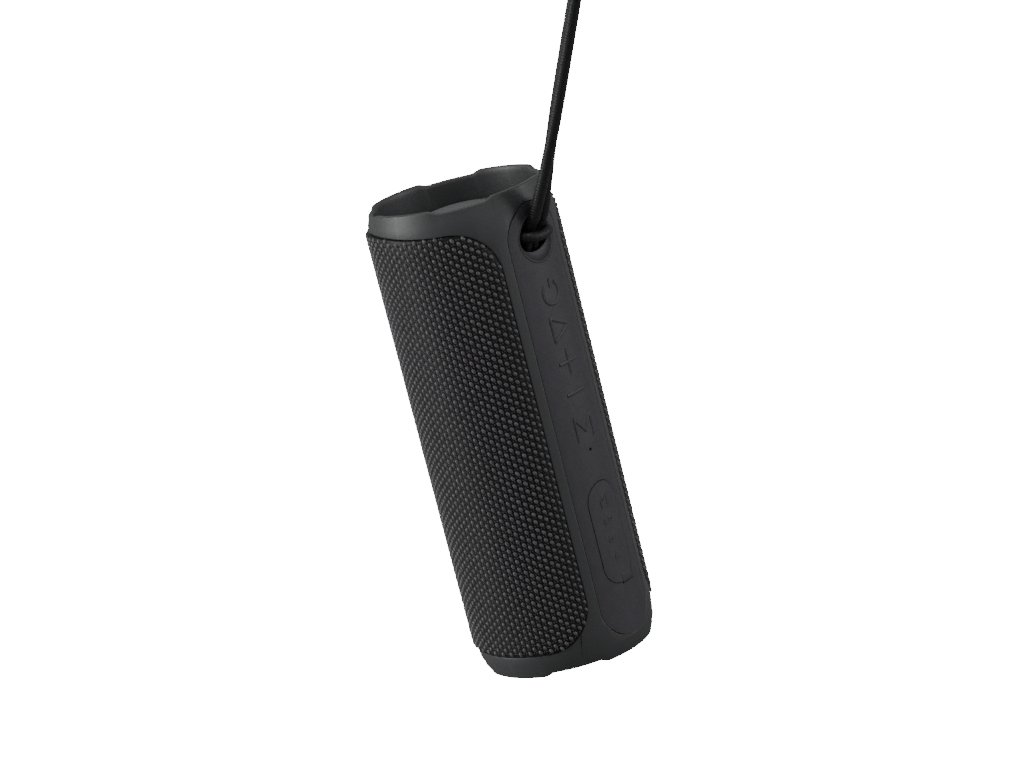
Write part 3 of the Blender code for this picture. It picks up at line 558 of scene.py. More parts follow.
def bump(tree, shader, height, distance, strength=1.0):
    node = put(tree, "ShaderNodeBump", {"Height": height, "Distance": distance, "Strength": strength})
    tree.links.new(node.outputs[0], shader.inputs["Normal"])


def moulded(name, colour, roughness, grain=2600.0, depth=0.00003, mottle=0.25, unevenness=0.12, dust=0.0,
            worn=None, wear=0.5, metallic=0.0, **constants):
    """Moulded plastic, rubber, lacquer or plain metal."""
    made, tree, shader = started(name, metallic, **constants)
    surface = put(tree, "ShaderNodeGroup", node_tree=MOULDED)
    for label, value in (("Colour", (*colour, 1)), ("Mottle", mottle), ("Roughness", roughness),
                         ("Unevenness", unevenness), ("Grain Scale", grain), ("Dust", dust)):
        surface.inputs[label].default_value = value
    tone, gloss = surface.outputs["Colour"], surface.outputs["Roughness"]
    if worn:
        edges = put(tree, "ShaderNodeGroup", node_tree=EDGE_WEAR)
        tree.links.new(tone, edges.inputs["Colour"])
        tree.links.new(gloss, edges.inputs["Roughness"])
        edges.inputs["Worn"].default_value = (*worn, 1)
        edges.inputs["Amount"].default_value = wear
        tone, gloss = edges.outputs["Colour"], edges.outputs["Roughness"]
    tree.links.new(tone, shader.inputs["Base Color"])
    tree.links.new(gloss, shader.inputs["Roughness"])
    bump(tree, shader, surface.outputs["Height"], depth)
    return made


def yarn(name, colour, light, across, along, depth, **constants):
    made, tree, shader = started(name, 0.0, **constants)
    threads = put(tree, "ShaderNodeGroup", node_tree=FILAMENTS)
    for label, value in (("Colour", (*colour, 1)), ("Light", (*light, 1)), ("Across", across),
                         ("Along", along)):
        threads.inputs[label].default_value = value
    tree.links.new(threads.outputs["Colour"], shader.inputs["Base Color"])
    tree.links.new(threads.outputs["Roughness"], shader.inputs["Roughness"])
    bump(tree, shader, threads.outputs["Height"], depth)
    return made


SOFT_TOUCH = moulded("soft_touch_grey", (0.0245, 0.0255, 0.0265), 0.50, 3200.0, 0.000012, 0.10, 0.08, 0.03,
                     (0.045, 0.047, 0.048), 0.5, Specular_IOR_Level=0.32)
PANEL_RUBBER = moulded("panel_rubber", (0.0180, 0.0168, 0.0215), 0.58, 3800.0, 0.000010, 0.12, 0.08, 0.04,
                       (0.03, 0.029, 0.034), 0.4, Specular_IOR_Level=0.28)
INNER_PLASTIC = moulded("inner_plastic", (0.017, 0.017, 0.018), 0.48, 2200.0, 0.00002, 0.2, 0.15)
SOFT_RUBBER = moulded("soft_rubber", (0.020, 0.0205, 0.022), 0.62, 3000.0, 0.00002, 0.2, 0.1, 0.15)
COATED_WEIGHT = moulded("coated_weight", (0.058, 0.060, 0.063), 0.45, 2600.0, 0.00001, 0.1, 0.1, 0.1,
                        (0.10, 0.10, 0.105), 0.4, metallic=0.25)
STEEL = moulded("plain_steel", (0.50, 0.50, 0.51), 0.34, 1800.0, 0.000006, 0.2, 0.2, 0.05,
                (0.6, 0.6, 0.6), 0.3, metallic=1.0)
NICKEL = moulded("nickel_plate", (0.62, 0.60, 0.56), 0.26, 1500.0, 0.000004, 0.12, 0.16, 0.0,
                 (0.7, 0.69, 0.66), 0.3, metallic=1.0)
SOLDER_MASK = moulded("solder_mask", (0.018, 0.095, 0.055), 0.35, 900.0, 0.00002, 0.5, 0.1, 0.1)
CELL_WRAP = moulded("cell_wrap", (0.045, 0.14, 0.29), 0.32, 700.0, 0.00002, 0.15, 0.1, Coat_Weight=0.3)
KNIT_YARN = yarn("knit_yarn", (0.0185, 0.0185, 0.0205), (0.046, 0.0465, 0.051), 5200.0, 500.0, 0.00004,
                 Sheen_Weight=0.15, Sheen_Roughness=0.4, Specular_IOR_Level=0.5)
# the ties are the same yarn as the loops, coloured much darker: painted shade where they sit low between the
# raised loops
KNIT_TIES_PAINTED_SHADE = yarn("knit_ties", (0.006, 0.006, 0.0066), (0.020, 0.020, 0.022), 4200.0, 700.0, 0.00004,
                 Specular_IOR_Level=0.4)
# the knit's ground is the same yarn, coloured near black: painted shade in the gaps under the raised loops
KNIT_GROUND_PAINTED_SHADE = yarn("knit_ground", (0.002, 0.002, 0.0023), (0.006, 0.006, 0.0067), 2600.0, 900.0, 0.00005,
                   Specular_IOR_Level=0.2)
BRAID = yarn("braided_cord", (0.0022, 0.0027, 0.0024), (0.0150, 0.0178, 0.0160), 6000.0, 900.0, 0.00005,
             Specular_IOR_Level=0.2)


# ---- camera
def camera():
    data = bpy.data.cameras.new("camera")
    made = linked("camera", data)
    azimuth, elevation, roll = (math.radians(a) for a in (AZIMUTH, ELEVATION, ROLL))
    away = Vector((-math.sin(azimuth) * math.cos(elevation), -math.cos(azimuth) * math.cos(elevation),
                   math.sin(elevation)))
    look = (-away).to_track_quat("-Z", "Y").to_matrix().to_4x4()
    target = Vector((0, 0, LENGTH / 2 + 0.3 * MM))
    made.matrix_world = (Matrix.Translation(target + away * CAMERA_DISTANCE) @ look
                         @ Matrix.Rotation(-roll, 4, "Z"))
    data.lens = LENS
    data.sensor_width = 36.0
    data.shift_x = -0.00065
    data.shift_y = 0.0358
    data.clip_end = 50.0
    bpy.context.scene.camera = made


# ---- lanyard
def smooth_route(points, longest):
    """Catmull-Rom curve through (x, y, z, width) points, with steps no longer than asked."""
    padded = [points[0]] + points + [points[-1]]
    route = []
    for a, b, c, d in zip(padded, padded[1:], padded[2:], padded[3:]):
        steps = max(1, math.ceil((Vector(c).xyz - Vector(b).xyz).length / longest))
        for i in range(steps):
            t = i / steps
            weights = (-t ** 3 + 2 * t * t - t, 3 * t ** 3 - 5 * t * t + 2,
                       -3 * t ** 3 + 4 * t * t + t, t ** 3 - t * t)
            summed = sum((Vector(p) * w for p, w in zip((a, b, c, d), weights)), Vector((0, 0, 0, 0)))
            route.append(summed / 2)
    return route + [Vector(points[-1])]


def braided(name, points, material):
    """Tube with the crossing strands of a round braid raised on it, and a UV map that follows them."""
    route = smooth_route(points, BRAID_STEP)
    places = [p.xyz for p in route]
    along = [0.0]
    for a, b in zip(places, places[1:]):
        along.append(along[-1] + (b - a).length)
    side = (places[1] - places[0]).orthogonal().normalized()
    verts = []
    for i, (place, width) in enumerate(zip(places, (p.w for p in route))):
        ahead = (places[min(i + 1, len(places) - 1)] - places[max(i - 1, 0)]).normalized()
        side = (side - ahead * side.dot(ahead)).normalized()
        other = ahead.cross(side)
        for k in range(BRAID_SIDES):
            turn = 2 * math.pi * k / BRAID_SIDES
            run = along[i] / BRAID_PITCH * 2 * math.pi
            relief = math.cos(BRAID_STRANDS * turn + run) * math.cos(BRAID_STRANDS * turn - run)
            radius = width * (CORD_D / 2 - CORD_SINK + BRAID_RELIEF * relief)
            verts.append(place + (side * math.cos(turn) + other * math.sin(turn)) * radius)
    faces = []
    uvs = []
    for i in range(len(places) - 1):
        for k in range(BRAID_SIDES):
            j = (k + 1) % BRAID_SIDES
            row = i * BRAID_SIDES
            faces.append((row + k, row + j, row + BRAID_SIDES + j, row + BRAID_SIDES + k))
            u0 = k / BRAID_SIDES * math.pi * CORD_D
            u1 = (k + 1) / BRAID_SIDES * math.pi * CORD_D
            uvs += [(u0, along[i]), (u1, along[i]), (u1, along[i + 1]), (u0, along[i + 1])]
    last = (len(places) - 1) * BRAID_SIDES
    faces += [tuple(reversed(range(BRAID_SIDES))), tuple(range(last, last + BRAID_SIDES))]
    uvs += [(0.0, 0.0)] * (2 * BRAID_SIDES)
    made = mesh_piece(name, verts, faces, uvs)
    smooth(made, 60)
    made.data.materials.append(material)
    path = places[::6] + [places[-1]]
    return made, path, along[-1]


def lanyard():
    """A doubled cord tied over the pin: two strands come up in front and the bight crosses over them."""
    thin = KNOT_SQUEEZE
    wrap_r = PIN_R + GAP + CORD_D * thin / 2
    lean = math.radians(LEAN)
    anchor = Vector((0, -38.7 * MM, 172.0 * MM))
    rise = Vector((0, -math.sin(lean), math.cos(lean)))
    side = CORD_D * thin / 2 + 0.14 * MM

    def beside(far, out, turn):
        """A point on the hanging part, far along it and out to one side, with the side turned about it."""
        t = math.radians(turn)
        apart = Vector((math.cos(t), math.sin(t) * math.cos(lean), math.sin(t) * math.sin(lean)))
        return (*(anchor + rise * far * MM + apart * out * MM), 1.0)

    def strand(sign):
        """From behind the pin, under it and up to where the two strands part."""
        points = []
        for turn in (0, 10, 35, 62, 90, 122):
            t = math.radians(turn)
            points.append((sign * side, PIN_Y + wrap_r * math.cos(t), PIN_Z - wrap_r * math.sin(t), thin))
        points.append((sign * side, -33.4 * MM, 165.3 * MM, thin))
        points.append((sign * 2.3 * MM, -36.0 * MM, 168.8 * MM, 0.95))
        for far, turn in ((0, 0), (12, 17), (26, 32), (42, 42), (60, 44), (78, 44), (94, 44)):
            points.append(beside(far, sign * 2.35, turn))
        return points

    crown = [beside(far, out, 44) for far, out in (
        (104, -3.6), (113, -7.6), (122, -9.4), (130, -6.6), (133.5, 0), (130, 6.6), (122, 9.4), (113, 7.6),
        (104, 3.6))]
    hanging = strand(-1) + crown + list(reversed(strand(1)))
    cord, path, length = braided("lanyard_cord", hanging, BRAID)
    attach(cord, "body")
    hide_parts("lanyard")

    leg = 6.0 * MM
    half = []
    for turn, x in ((16, side), (25, side + 0.2 * MM), (45, side + 1.5 * MM), (66, side + 2.9 * MM),
                    (88, leg - 0.3 * MM), (110, leg)):
        t = math.radians(turn)
        half.append((-x, PIN_Y + wrap_r * math.cos(t), PIN_Z + wrap_r * math.sin(t), thin))
    half += [(-leg, -31.4 * MM, 164.6 * MM, thin), (-leg + 0.1 * MM, -34.2 * MM, 164.4 * MM, thin),
             (-4.9 * MM, -36.5 * MM, 164.1 * MM, thin), (-2.6 * MM, -37.5 * MM, 163.8 * MM, thin)]
    middle = [(0, -37.7 * MM, 163.7 * MM, thin)]
    other = [(-x, y, z, w) for x, y, z, w in reversed(half)]
    bight, path, length = braided("lanyard_bight_cord", half + middle + other, BRAID)
    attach(bight, "body")
    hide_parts("lanyard_bight")


# ---- frame and rings
def ring_outline():
    """Half of the frame's section, from the spine's outside over the rim to the inside, as (radius, depth)."""
    lip = 0.6 * MM
    outside = [(RING_R, 14.0 * MM), (RING_R - 0.93 * MM, 5.1 * MM), (RIM_R + 0.12 * MM, 1.6 * MM)]
    crest = [(RIM_R - lip + lip * math.cos(math.radians(a)), lip * 1.6 * (1 - math.sin(math.radians(a))))
             for a in (10, 30, 50, 70, 90)]
    inner_lip = [(RIM_R - 1.5 * MM, 0.0), (RIM_R - 1.75 * MM, 0.12 * MM), (CUP_R + 0.25 * MM, 0.7 * MM),
                 (CUP_R + 0.05 * MM, 1.6 * MM), (CUP_R, 2.6 * MM)]
    return outside + crest + inner_lip + [(CUP_R, SHOULDER), (RING_R - WALL, SHOULDER)]


def notch_share(azimuth):
    off = abs((azimuth + 360) % 90 - 45)
    share = min(1.0, max(0.0, (NOTCH_FLAT + NOTCH_RAMP - off) / NOTCH_RAMP))
    return share * share * (3 - 2 * share)


def sink_notches(thing):
    """Push the rim down between its four raised stretches, a little more at each column of a ramp."""
    edit(thing)
    step = 360 / RING_STEPS
    shares = sorted({round(notch_share(i * step), 4) for i in range(RING_STEPS)} - {0.0})
    for share in shares:
        for low in (True, False):
            def in_notch(co):
                depth = co.z if low else LENGTH - co.z
                azimuth = math.degrees(math.atan2(co.x, -co.y))
                return depth < 2.0 * MM and abs(notch_share(azimuth) - share) < 1e-3
            select_verts(thing, in_notch)
            bpy.ops.transform.translate(value=(0, 0, NOTCH_DEPTH * share * (1 if low else -1)))
    leave_edit()


def window_ease(x):
    """How much higher the window's upper edge lies towards the back, x from the middle of the back."""
    azimuth = 180 - math.degrees(abs(x) / RING_R)
    away = min(1.0, max(0.0, (azimuth - 55.0) / 75.0))
    return (EDGE_TOP_FRONT - EDGE_TOP_REAR) * away * away * (3 - 2 * away)


def window_plate(name, inset, depth):
    """Flat plate in the shape of the fabric window, x measured round from the middle of the back."""
    half = math.radians(180 - SPINE_HALF) * RING_R - inset
    low, high = EDGE_LOW + inset, LENGTH - EDGE_TOP_FRONT - inset
    deselect_objects()
    bpy.ops.mesh.primitive_plane_add(size=1, rotation=(math.pi / 2, 0, 0), location=(0, 0, (low + high) / 2))
    made = named(name)
    made.scale = (2 * half, high - low, 1)
    place_in_mesh(made)
    edit(made)
    select_all()
    bpy.ops.mesh.bevel(offset=CORNER_R - inset, segments=12, affect="VERTICES")
    select_all()
    bpy.ops.mesh.extrude_region_move(TRANSFORM_OT_translate={"value": (0, depth, 0)})
    select_all()
    bpy.ops.mesh.normals_make_consistent(inside=False)
    leave_edit()
    pitch = math.radians(1.5) * RING_R
    slice_columns(made, pitch, pitch / 2)
    middle = LENGTH / 2
    for vert in made.data.vertices:
        if vert.co.z > middle:
            vert.co.z += window_ease(vert.co.x)
    return made


def triangulate(thing):
    edit(thing)
    select_all()
    bpy.ops.mesh.quads_convert_to_tris()
    leave_edit()


def round_cut_edges(thing, width):
    """Round the sharp edges that lie on the frame's outer face, away from the rims."""
    def select_cut_edges():
        shape = bmesh.from_edit_mesh(thing.data)
        bpy.ops.mesh.select_all(action="DESELECT")
        for line in shape.edges:
            if len(line.link_faces) == 2 and line.calc_face_angle(0) > math.radians(55):
                line.select = all(v.co.xy.length > RIM_R + 0.9 * MM for v in line.verts)
        bmesh.update_edit_mesh(thing.data)

    edit(thing)
    select_cut_edges()
    bpy.ops.mesh.remove_doubles(threshold=0.2 * MM)
    select_cut_edges()
    bpy.ops.mesh.bevel(offset=width, segments=3, affect="EDGES", clamp_overlap=False, loop_slide=False)
    leave_edit()


def keep_side(thing, point, normal):
    """Cut a piece by a plane and keep the side the normal points away from."""
    edit(thing)
    select_all()
    bpy.ops.mesh.bisect(plane_co=point, plane_no=normal, use_fill=True, clear_outer=True)
    leave_edit()


def frame_and_rings():
    half = ring_outline()
    outline = [(r, LENGTH - d) for r, d in half] + [(r, d) for r, d in reversed(half)]
    whole = lathe("frame_moulding", outline, RING_STEPS)
    sink_notches(whole)
    window = window_plate("window_cutter", 0.0, CUTTER_DEPTH)
    wrap(window, RING_R + CUTTER_DEPTH / 2, 180)
    panel = stadium("panel_opening", PANEL_HALF + PANEL_GAP, PANEL_BOX[0].z - PANEL_GAP,
                    PANEL_BOX[1].z + PANEL_GAP, CUTTER_DEPTH)
    slice_columns(panel, 1.2 * MM, 0.6 * MM)
    wrap(panel, RING_R + CUTTER_DEPTH / 2)
    for cutter in (window, panel):
        triangulate(cutter)
    boolean(whole, [window, panel])
    merged(whole, 5e-6)
    round_cut_edges(whole, EDGE_ROUND)
    rear = copied(whole, "rear_rings")
    keep_side(whole, (0, -SEAM / 2, 0), (0, 1, 0))
    keep_side(rear, (0, SEAM / 2, 0), (0, -1, 0))
    upper = copied(rear, "rear_ring_upper")
    keep_side(upper, (0, 0, LENGTH / 2), (0, 0, -1))
    keep_side(rear, (0, 0, LENGTH / 2), (0, 0, 1))
    rear.name = "rear_ring_lower"
    for piece, node in ((whole, "spine_frame"), (upper, "rear_ring_top"), (rear, "rear_ring_bottom")):
        smooth(piece, 40)
        settle(piece, "body", "soft_touch", SOFT_TOUCH, node)


# ---- knit cover
def border_distance(x, z):
    """Distance from the fabric window's border, x from the middle of the back; negative outside."""
    half = math.radians(180 - SPINE_HALF) * RING_R
    top = LENGTH - EDGE_TOP_FRONT + window_ease(x)
    side, up, down = half - abs(x), top - z, z - EDGE_LOW
    end = min(up, down)
    if side < CORNER_R and end < CORNER_R:
        return CORNER_R - math.hypot(CORNER_R - side, CORNER_R - end)
    return min(side, end)


def cover_radius(x, z):
    """The stretched cloth stands proud and dips under the frame all round its border."""
    near = min(1.0, max(0.0, border_distance(x, z) / BORDER_REACH))
    return COVER_R - BORDER_DIP * (1 - near) ** 2


def cover_cloth():
    """The ground of the knit: one sheet stretched round the grille, coloured near black as painted shade in the
    gaps between the loops.
    """
    made = window_plate("cover_cloth", GAP, COVER_T)
    edit(made)
    for step in range(1, 60):
        height = EDGE_LOW + step * (LENGTH - EDGE_LOW - EDGE_TOP_REAR) / 60
        select_all()
        bpy.ops.mesh.bisect(plane_co=(0, 0, height), plane_no=(0, 0, 1))
    leave_edit()
    layer = made.data.uv_layers.new(name="UVMap")
    for face in made.data.polygons:
        for corner in face.loop_indices:
            co = made.data.vertices[made.data.loops[corner].vertex_index].co
            layer.data[corner].uv = (co.x, co.z)
    drops = [cover_radius(v.co.x, v.co.z) - COVER_R for v in made.data.vertices]
    for vert, drop in zip(made.data.vertices, drops):
        vert.co.y -= drop
    wrap(made, COVER_R, 180)
    smooth(made, 50)
    settle(made, "body", "grille_fabric", KNIT_GROUND_PAINTED_SHADE, "grille_fabric")
    return made


def bead_shape(around, rings):
    """A low dome: base ring, rings up to the crown, closed below. Points are on a unit dome."""
    points = []
    for level in range(rings):
        up = math.radians(90 * level / rings)
        for k in range(around):
            turn = 2 * math.pi * k / around
            points.append((math.cos(turn) * math.cos(up), math.sin(turn) * math.cos(up), math.sin(up)))
    points.append((0, 0, 1))
    faces = [tuple(reversed(range(around)))]
    for level in range(rings - 1):
        for k in range(around):
            j = (k + 1) % around
            row = level * around
            faces.append((row + k, row + j, row + around + j, row + around + k))
    top = (rings - 1) * around
    faces += [(top + k, top + (k + 1) % around, top + around) for k in range(around)]
    return np.array(points), faces


def loops_of_yarn(name, shape, places, material, cloth_pieces):
    """Lay one raised loop at each (x, z, half width, half height, rise, tilt) on the cloth."""
    points, faces = shape
    verts, all_faces, uvs = [], [], []
    for x, z, wide, tall, rise, tilt in places:
        cos, sin = math.cos(math.radians(tilt)), math.sin(math.radians(tilt))
        base = len(verts)
        ground = cover_radius(x, z) - 0.12 * MM
        local = []
        for px, py, pz in points:
            across, along = px * wide, py * tall
            dx, dz = across * cos - along * sin, across * sin + along * cos
            angle = math.pi + (x + dx) / RING_R
            radius = ground + pz * rise
            verts.append((radius * math.sin(angle), -radius * math.cos(angle), z + dz))
            local.append((along + z * 3, across + x * 3))
        for face in faces:
            all_faces.append(tuple(base + i for i in face))
            uvs += [local[i] for i in face]
    made = mesh_piece(name, verts, all_faces, uvs)
    smooth(made, 70)
    settle(made, "body", "grille_fabric", material)
    cloth_pieces.append(made)


def knit_cover():
    cloth = cover_cloth()
    rng = np.random.default_rng(7)
    half = math.radians(180 - SPINE_HALF) * RING_R
    columns = int(2 * half / WALE)
    main, small = [], []
    for column in range(columns + 1):
        x = -half + (column + 0.5) * 2 * half / (columns + 1)
        shift = COURSE / 2 if column % 2 else 0.0
        for row in range(int(LENGTH / COURSE) + 1):
            z = row * COURSE + shift + 0.4 * MM
            if border_distance(x, z) > 0.55 * MM:
                wobble = rng.normal(0, 1, 4)
                main.append((x + wobble[0] * 0.04 * MM, z + wobble[1] * 0.05 * MM,
                             (LOOP_WIDE + 0.03 * wobble[2]) * MM, LOOP_TALL * MM,
                             (LOOP_RISE + 0.03 * wobble[3]) * MM, LOOP_TILT))
            for hand in (-1, 1):
                sx, sz = x + hand * 0.50 * MM, z + COURSE / 2
                if border_distance(sx, sz) > 0.4 * MM:
                    small.append((sx, sz + hand * 0.06 * MM, 0.40 * MM, 0.42 * MM, 0.34 * MM, 0))
    pieces = []
    shape = bead_shape(8, 3)
    cut = len(main) // 2
    loops_of_yarn("knit_loops_left", shape, main[:cut], KNIT_YARN, pieces)
    loops_of_yarn("knit_loops_right", shape, main[cut:], KNIT_YARN, pieces)
    shape = bead_shape(6, 2)
    cut = len(small) // 2
    # the small ties take the darker yarn, painted shade between the loops
    loops_of_yarn("knit_ties_left", shape, small[:cut], KNIT_TIES_PAINTED_SHADE, pieces)
    loops_of_yarn("knit_ties_right", shape, small[cut:], KNIT_TIES_PAINTED_SHADE, pieces)


# ---- control panel and keys
def symbol_ribs(key):
    """Raised lines of each key's symbol, as lists of (x, z) in millimetres from the key's centre."""
    return {
        "power": [arc(4.3, 36, 324, 36), [(0, 1.9), (0, 5.3)]],
        "play": [[(-4.0, -4.5), (-4.0, 4.5), (4.9, 0), (-4.0, -4.5)]],
        "plus": [[(-4.9, 0), (4.9, 0)], [(0, -4.9), (0, 4.9)]],
        "minus": [[(-4.7, 0), (4.7, 0)]],
        "mode": [[(-4.6, -4.6), (-4.6, 4.6), (0, -1.4), (4.6, 4.6), (4.6, -4.6)]],
    }[key]


def ribs(name, lines, half, z, flat=0.5):
    made = [tube_along(f"{name}_{i}", fine_steps([(x * MM, z + h * MM) for x, h in line]), half, flat)
            for i, line in enumerate(lines)]
    return join(made[0], *made[1:]) if len(made) > 1 else made[0]


def disc(name, radius, z, depth, front=0.0, rounding=0.0):
    """Flat disc facing the front, from y = front to y = depth."""
    deselect_objects()
    bpy.ops.mesh.primitive_cylinder_add(vertices=64, radius=radius, depth=depth - front,
                                        rotation=(math.pi / 2, 0, 0), location=(0, (front + depth) / 2, z))
    made = named(name)
    place_in_mesh(made)
    if rounding:
        add_modifier(made, "BEVEL", width=rounding, segments=2, limit_method="ANGLE")
        apply_modifiers(made)
    return made


def tab_block(name, clearance, front, depth, rounding=0.0):
    """The flap's pull tab, or the room for it in the panel, as flat work."""
    size = (TAB_W + 2 * clearance, depth - front, TAB_W / 2 + TAB_DROP + 2 * clearance)
    centre = (TAB_W / 2, (front + depth) / 2, FLAP_FOOT + (TAB_W / 2 - TAB_DROP) / 2)
    return block(name, size, centre, rounding)


def key_cap(key):
    low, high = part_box(f"key_{key}")
    z, radius = (low.z + high.z) / 2, (high.x - low.x) / 2
    cap = disc(f"key_cap_{key}", radius + GAP - HAIRLINE, z, 1.4 * MM)
    slice_columns(cap, 1.0 * MM, 0.5 * MM)
    symbol = ribs(f"key_symbol_{key}", symbol_ribs(key), RIB, z)
    cap = join(cap, symbol)
    drape(cap, PANEL_R)
    smooth(cap, 40)
    settle(cap, f"key_{key}", "panel_rubber", PANEL_RUBBER, f"key_{key}")


def panel_skin():
    panel = stadium("panel_skin", PANEL_HALF, PANEL_BOX[0].z, PANEL_BOX[1].z, PANEL_T, 0.45 * MM, 18)
    slice_columns(panel, 1.0 * MM, 0.5 * MM)
    wrap(panel, PANEL_R)
    triangulate(panel)
    tools = []
    for key in KEYS:
        low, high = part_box(f"key_{key}")
        tools.append(disc(f"hole_{key}", (high.x - low.x) / 2 + GAP, (low.z + high.z) / 2, 0, -REACH))
    mic_low, mic_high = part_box("microphone")
    tools.append(disc("hole_microphone", 0.62 * MM, (mic_low.z + mic_high.z) / 2, 0, -REACH))
    tools.append(disc("hole_eyelet", DISH_R + HAIRLINE, DISH_Z, 0, -REACH))
    flap = stadium("hole_flap", FLAP_HALF + GAP, FLAP_FOOT - GAP, FLAP_TOP + GAP, REACH)
    bring_forward(flap, REACH)
    tools += [flap, tab_block("hole_tab", 0.3 * MM, -REACH, 0.0)]
    boolean(panel, tools)
    merged(panel, 2e-6)
    smooth(panel, 35)
    settle(panel, "body", "panel_rubber", PANEL_RUBBER, "control_panel")


def oval(name, half_x, half_z, z, depth, front):
    """Upright oval cutter facing the front."""
    made = disc(name, 1.0, 0, depth, front)
    for vert in made.data.vertices:
        vert.co.x *= half_x
        vert.co.z = vert.co.z * half_z + z
    return made


def eyelet():
    """Round dish with a raised lip and an oval mouth, and the pocket behind it."""
    pocket = polished("eyelet_cup", "eyelet_pocket", 0.0)
    keep_side(pocket, (0, -32.7 * MM, 0), (0, -1, 0))
    rim = DISH_RIM_R / MM
    section = [(rim, 3.2), (rim, 0.16), (rim - 0.06, 0.02), (rim - 0.2, -0.07), (rim - 0.4, -0.10),
               (rim - 0.6, -0.05), (rim - 0.8, 0.12), (rim - 1.3, 0.75), (rim - 2.2, 1.45), (rim - 3.6, 2.1),
               (3.0, 2.3), (0.5, 2.3), (0.5, 3.2)]
    facing_front = Matrix.Translation((0, 0, DISH_Z)) @ Matrix.Rotation(math.radians(90), 4, "X")
    dish = lathe("eyelet_dish", [(r * MM, -d * MM) for r, d in section], 96, True, facing_front)
    slice_columns(dish, 0.8 * MM, 0.4 * MM)
    boolean(dish, [oval("eyelet_mouth", 8.2 * MM, 5.6 * MM, PIN_Z + 1.3 * MM, 8 * MM, -8 * MM)])
    merged(dish, 2e-6)
    add_modifier(dish, "BEVEL", width=0.25 * MM, segments=3, limit_method="ANGLE",
                 angle_limit=math.radians(50))
    apply_modifiers(dish)
    drape(dish, PANEL_R)
    smooth(dish, 40)
    settle(dish, "body", "panel_rubber", PANEL_RUBBER, "eyelet_cup")

    settle(pocket, "body", "panel_rubber", PANEL_RUBBER, "eyelet_cup")


# ---- port flap
def flap_symbols():
    """Card, plug, audio and charging symbols, as (height above the flap's foot, lines)."""
    card = [[(-1.7, -2.1), (1.7, -2.1), (1.7, 2.1), (-0.6, 2.1), (-1.7, 1.0), (-1.7, -2.1)],
            [(-0.6, 0.2), (-0.6, 1.1)], [(0.3, 0.2), (0.3, 1.1)]]
    plug = [[(-2.1, -0.9), (0.6, -0.9), (0.6, 0.9), (-2.1, 0.9), (-2.1, -0.9)],
            [(0.6, -0.6), (2.1, -0.6), (2.1, 0.6), (0.6, 0.6)]]
    audio = [arc(0.8, 0, 360, 16, (-1.2, 0))[:-1] + [(-1.2, 0.8)], [(-0.4, 0), (2.2, 0)]]
    bolt = [[(0.5, 2.2), (-1.0, -0.1), (0.9, 0.1), (-0.5, -2.2)]]
    return [(32.3, card), (24.7, plug), (17.1, audio), (10.1, bolt)]


def port_flap():
    half = FLAP_HALF + FLAP_MARGIN
    face = stadium("flap_skin", half, FLAP_FOOT - FLAP_MARGIN, FLAP_TOP + FLAP_MARGIN, 1.7 * MM, 1.3 * MM, 16)
    bring_forward(face, FLAP_PROUD)
    face = join(face, tab_block("flap_tab", 0.0, -0.25 * MM, 1.4 * MM, 0.22 * MM))
    slice_columns(face, 1.0 * MM, 0.5 * MM)
    for i, (up, lines) in enumerate(flap_symbols()):
        face = join(face, ribs(f"flap_symbol_{i}", lines, 0.34 * MM, FLAP_FOOT + up * MM, 0.9))
    drape(face, PANEL_R)
    plug = stadium("flap_plug", half - 1.9 * MM, FLAP_FOOT + 3.4 * MM, FLAP_TOP - 4.4 * MM, 3.4 * MM, 0.0, 12)
    bring_forward(plug, PANEL_R - 0.8 * MM)
    flap = join(face, plug)
    smooth(flap, 40)
    settle(flap, "port_flap", "panel_rubber", PANEL_RUBBER, "port_flap")


# ---- end cups
def radiator(side, top):
    def ends(outline):
        return [(r * MM, LENGTH - d * MM if top else d * MM) for r, d in outline]

    plate = lathe(f"radiator_disc_{side}", ends([
        (0.5, 7.5), (4.0, 7.5), (12.6, 7.5), (13.1, 7.55), (13.45, 7.75), (13.6, 8.1), (13.9, 8.6),
        (15.0, 9.7), (15.45, 10.2), (15.6, 10.6), (15.6, 11.7), (11.0, 11.7), (9.0, 12.4),
        (0.5, 12.4)]), 96, False)
    smooth(plate, 30)
    settle(plate, f"radiator_plate_{side}", "coated_weight", COATED_WEIGHT, f"radiator_plate_{side}")

    pleats = [(29.6, 10.9), (26.4, 10.9), (25.8, 10.75)]
    for fold in range(4):
        start = 25.2 - fold * 2.3
        depth = 10.7 - fold * 0.14
        pleats += [(start, depth), (start - 0.5, depth - 0.01),
                   (start - 1.0, depth - 0.10), (start - 1.5, depth - 0.12)]
    pleats += [(15.9, 10.05)]
    back = [(r, d + 0.5) for r, d in reversed(pleats)]
    surround = lathe(f"surround_{side}", ends(pleats + back), 96)
    smooth(surround, 60)
    surround.data.materials.clear()
    surround.data.materials.append(SOFT_RUBBER)
    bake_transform(surround)
    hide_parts(f"radiator_surround_{side}")


# ---- carried-over nodes
def block(name, size, centre, rounding=0.0):
    deselect_objects()
    bpy.ops.mesh.primitive_cube_add(size=1, location=centre)
    made = named(name)
    made.scale = size
    place_in_mesh(made)
    if rounding:
        add_modifier(made, "BEVEL", width=rounding, segments=3)
        apply_modifiers(made)
    return made


def socket_insulators():
    """Dark insulator at the back of each metal socket, with its tongue."""
    for node, width, height, up in (("usb_a_socket", 9.4, 1.75, 1.1), ("usb_c_socket", 6.7, 0.8, 0.0)):
        low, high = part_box(node)
        middle = (low.z + high.z) / 2
        back, tip = high.y - 1.02 * MM, low.y + 0.7 * MM
        plate = block(f"{node}_insulator", (high.x - low.x - 1.2 * MM, 0.4 * MM, high.z - low.z - 1.2 * MM),
                      (0, back - 0.2 * MM, middle))
        tongue = block(f"{node}_tongue", (width * MM, back - tip, height * MM),
                       (0, (back + tip) / 2, middle + up * MM), 0.2 * MM)
        insulator = join(plate, tongue)
        smooth(insulator, 30)
        settle(insulator, "body", "inner_plastic", INNER_PLASTIC)


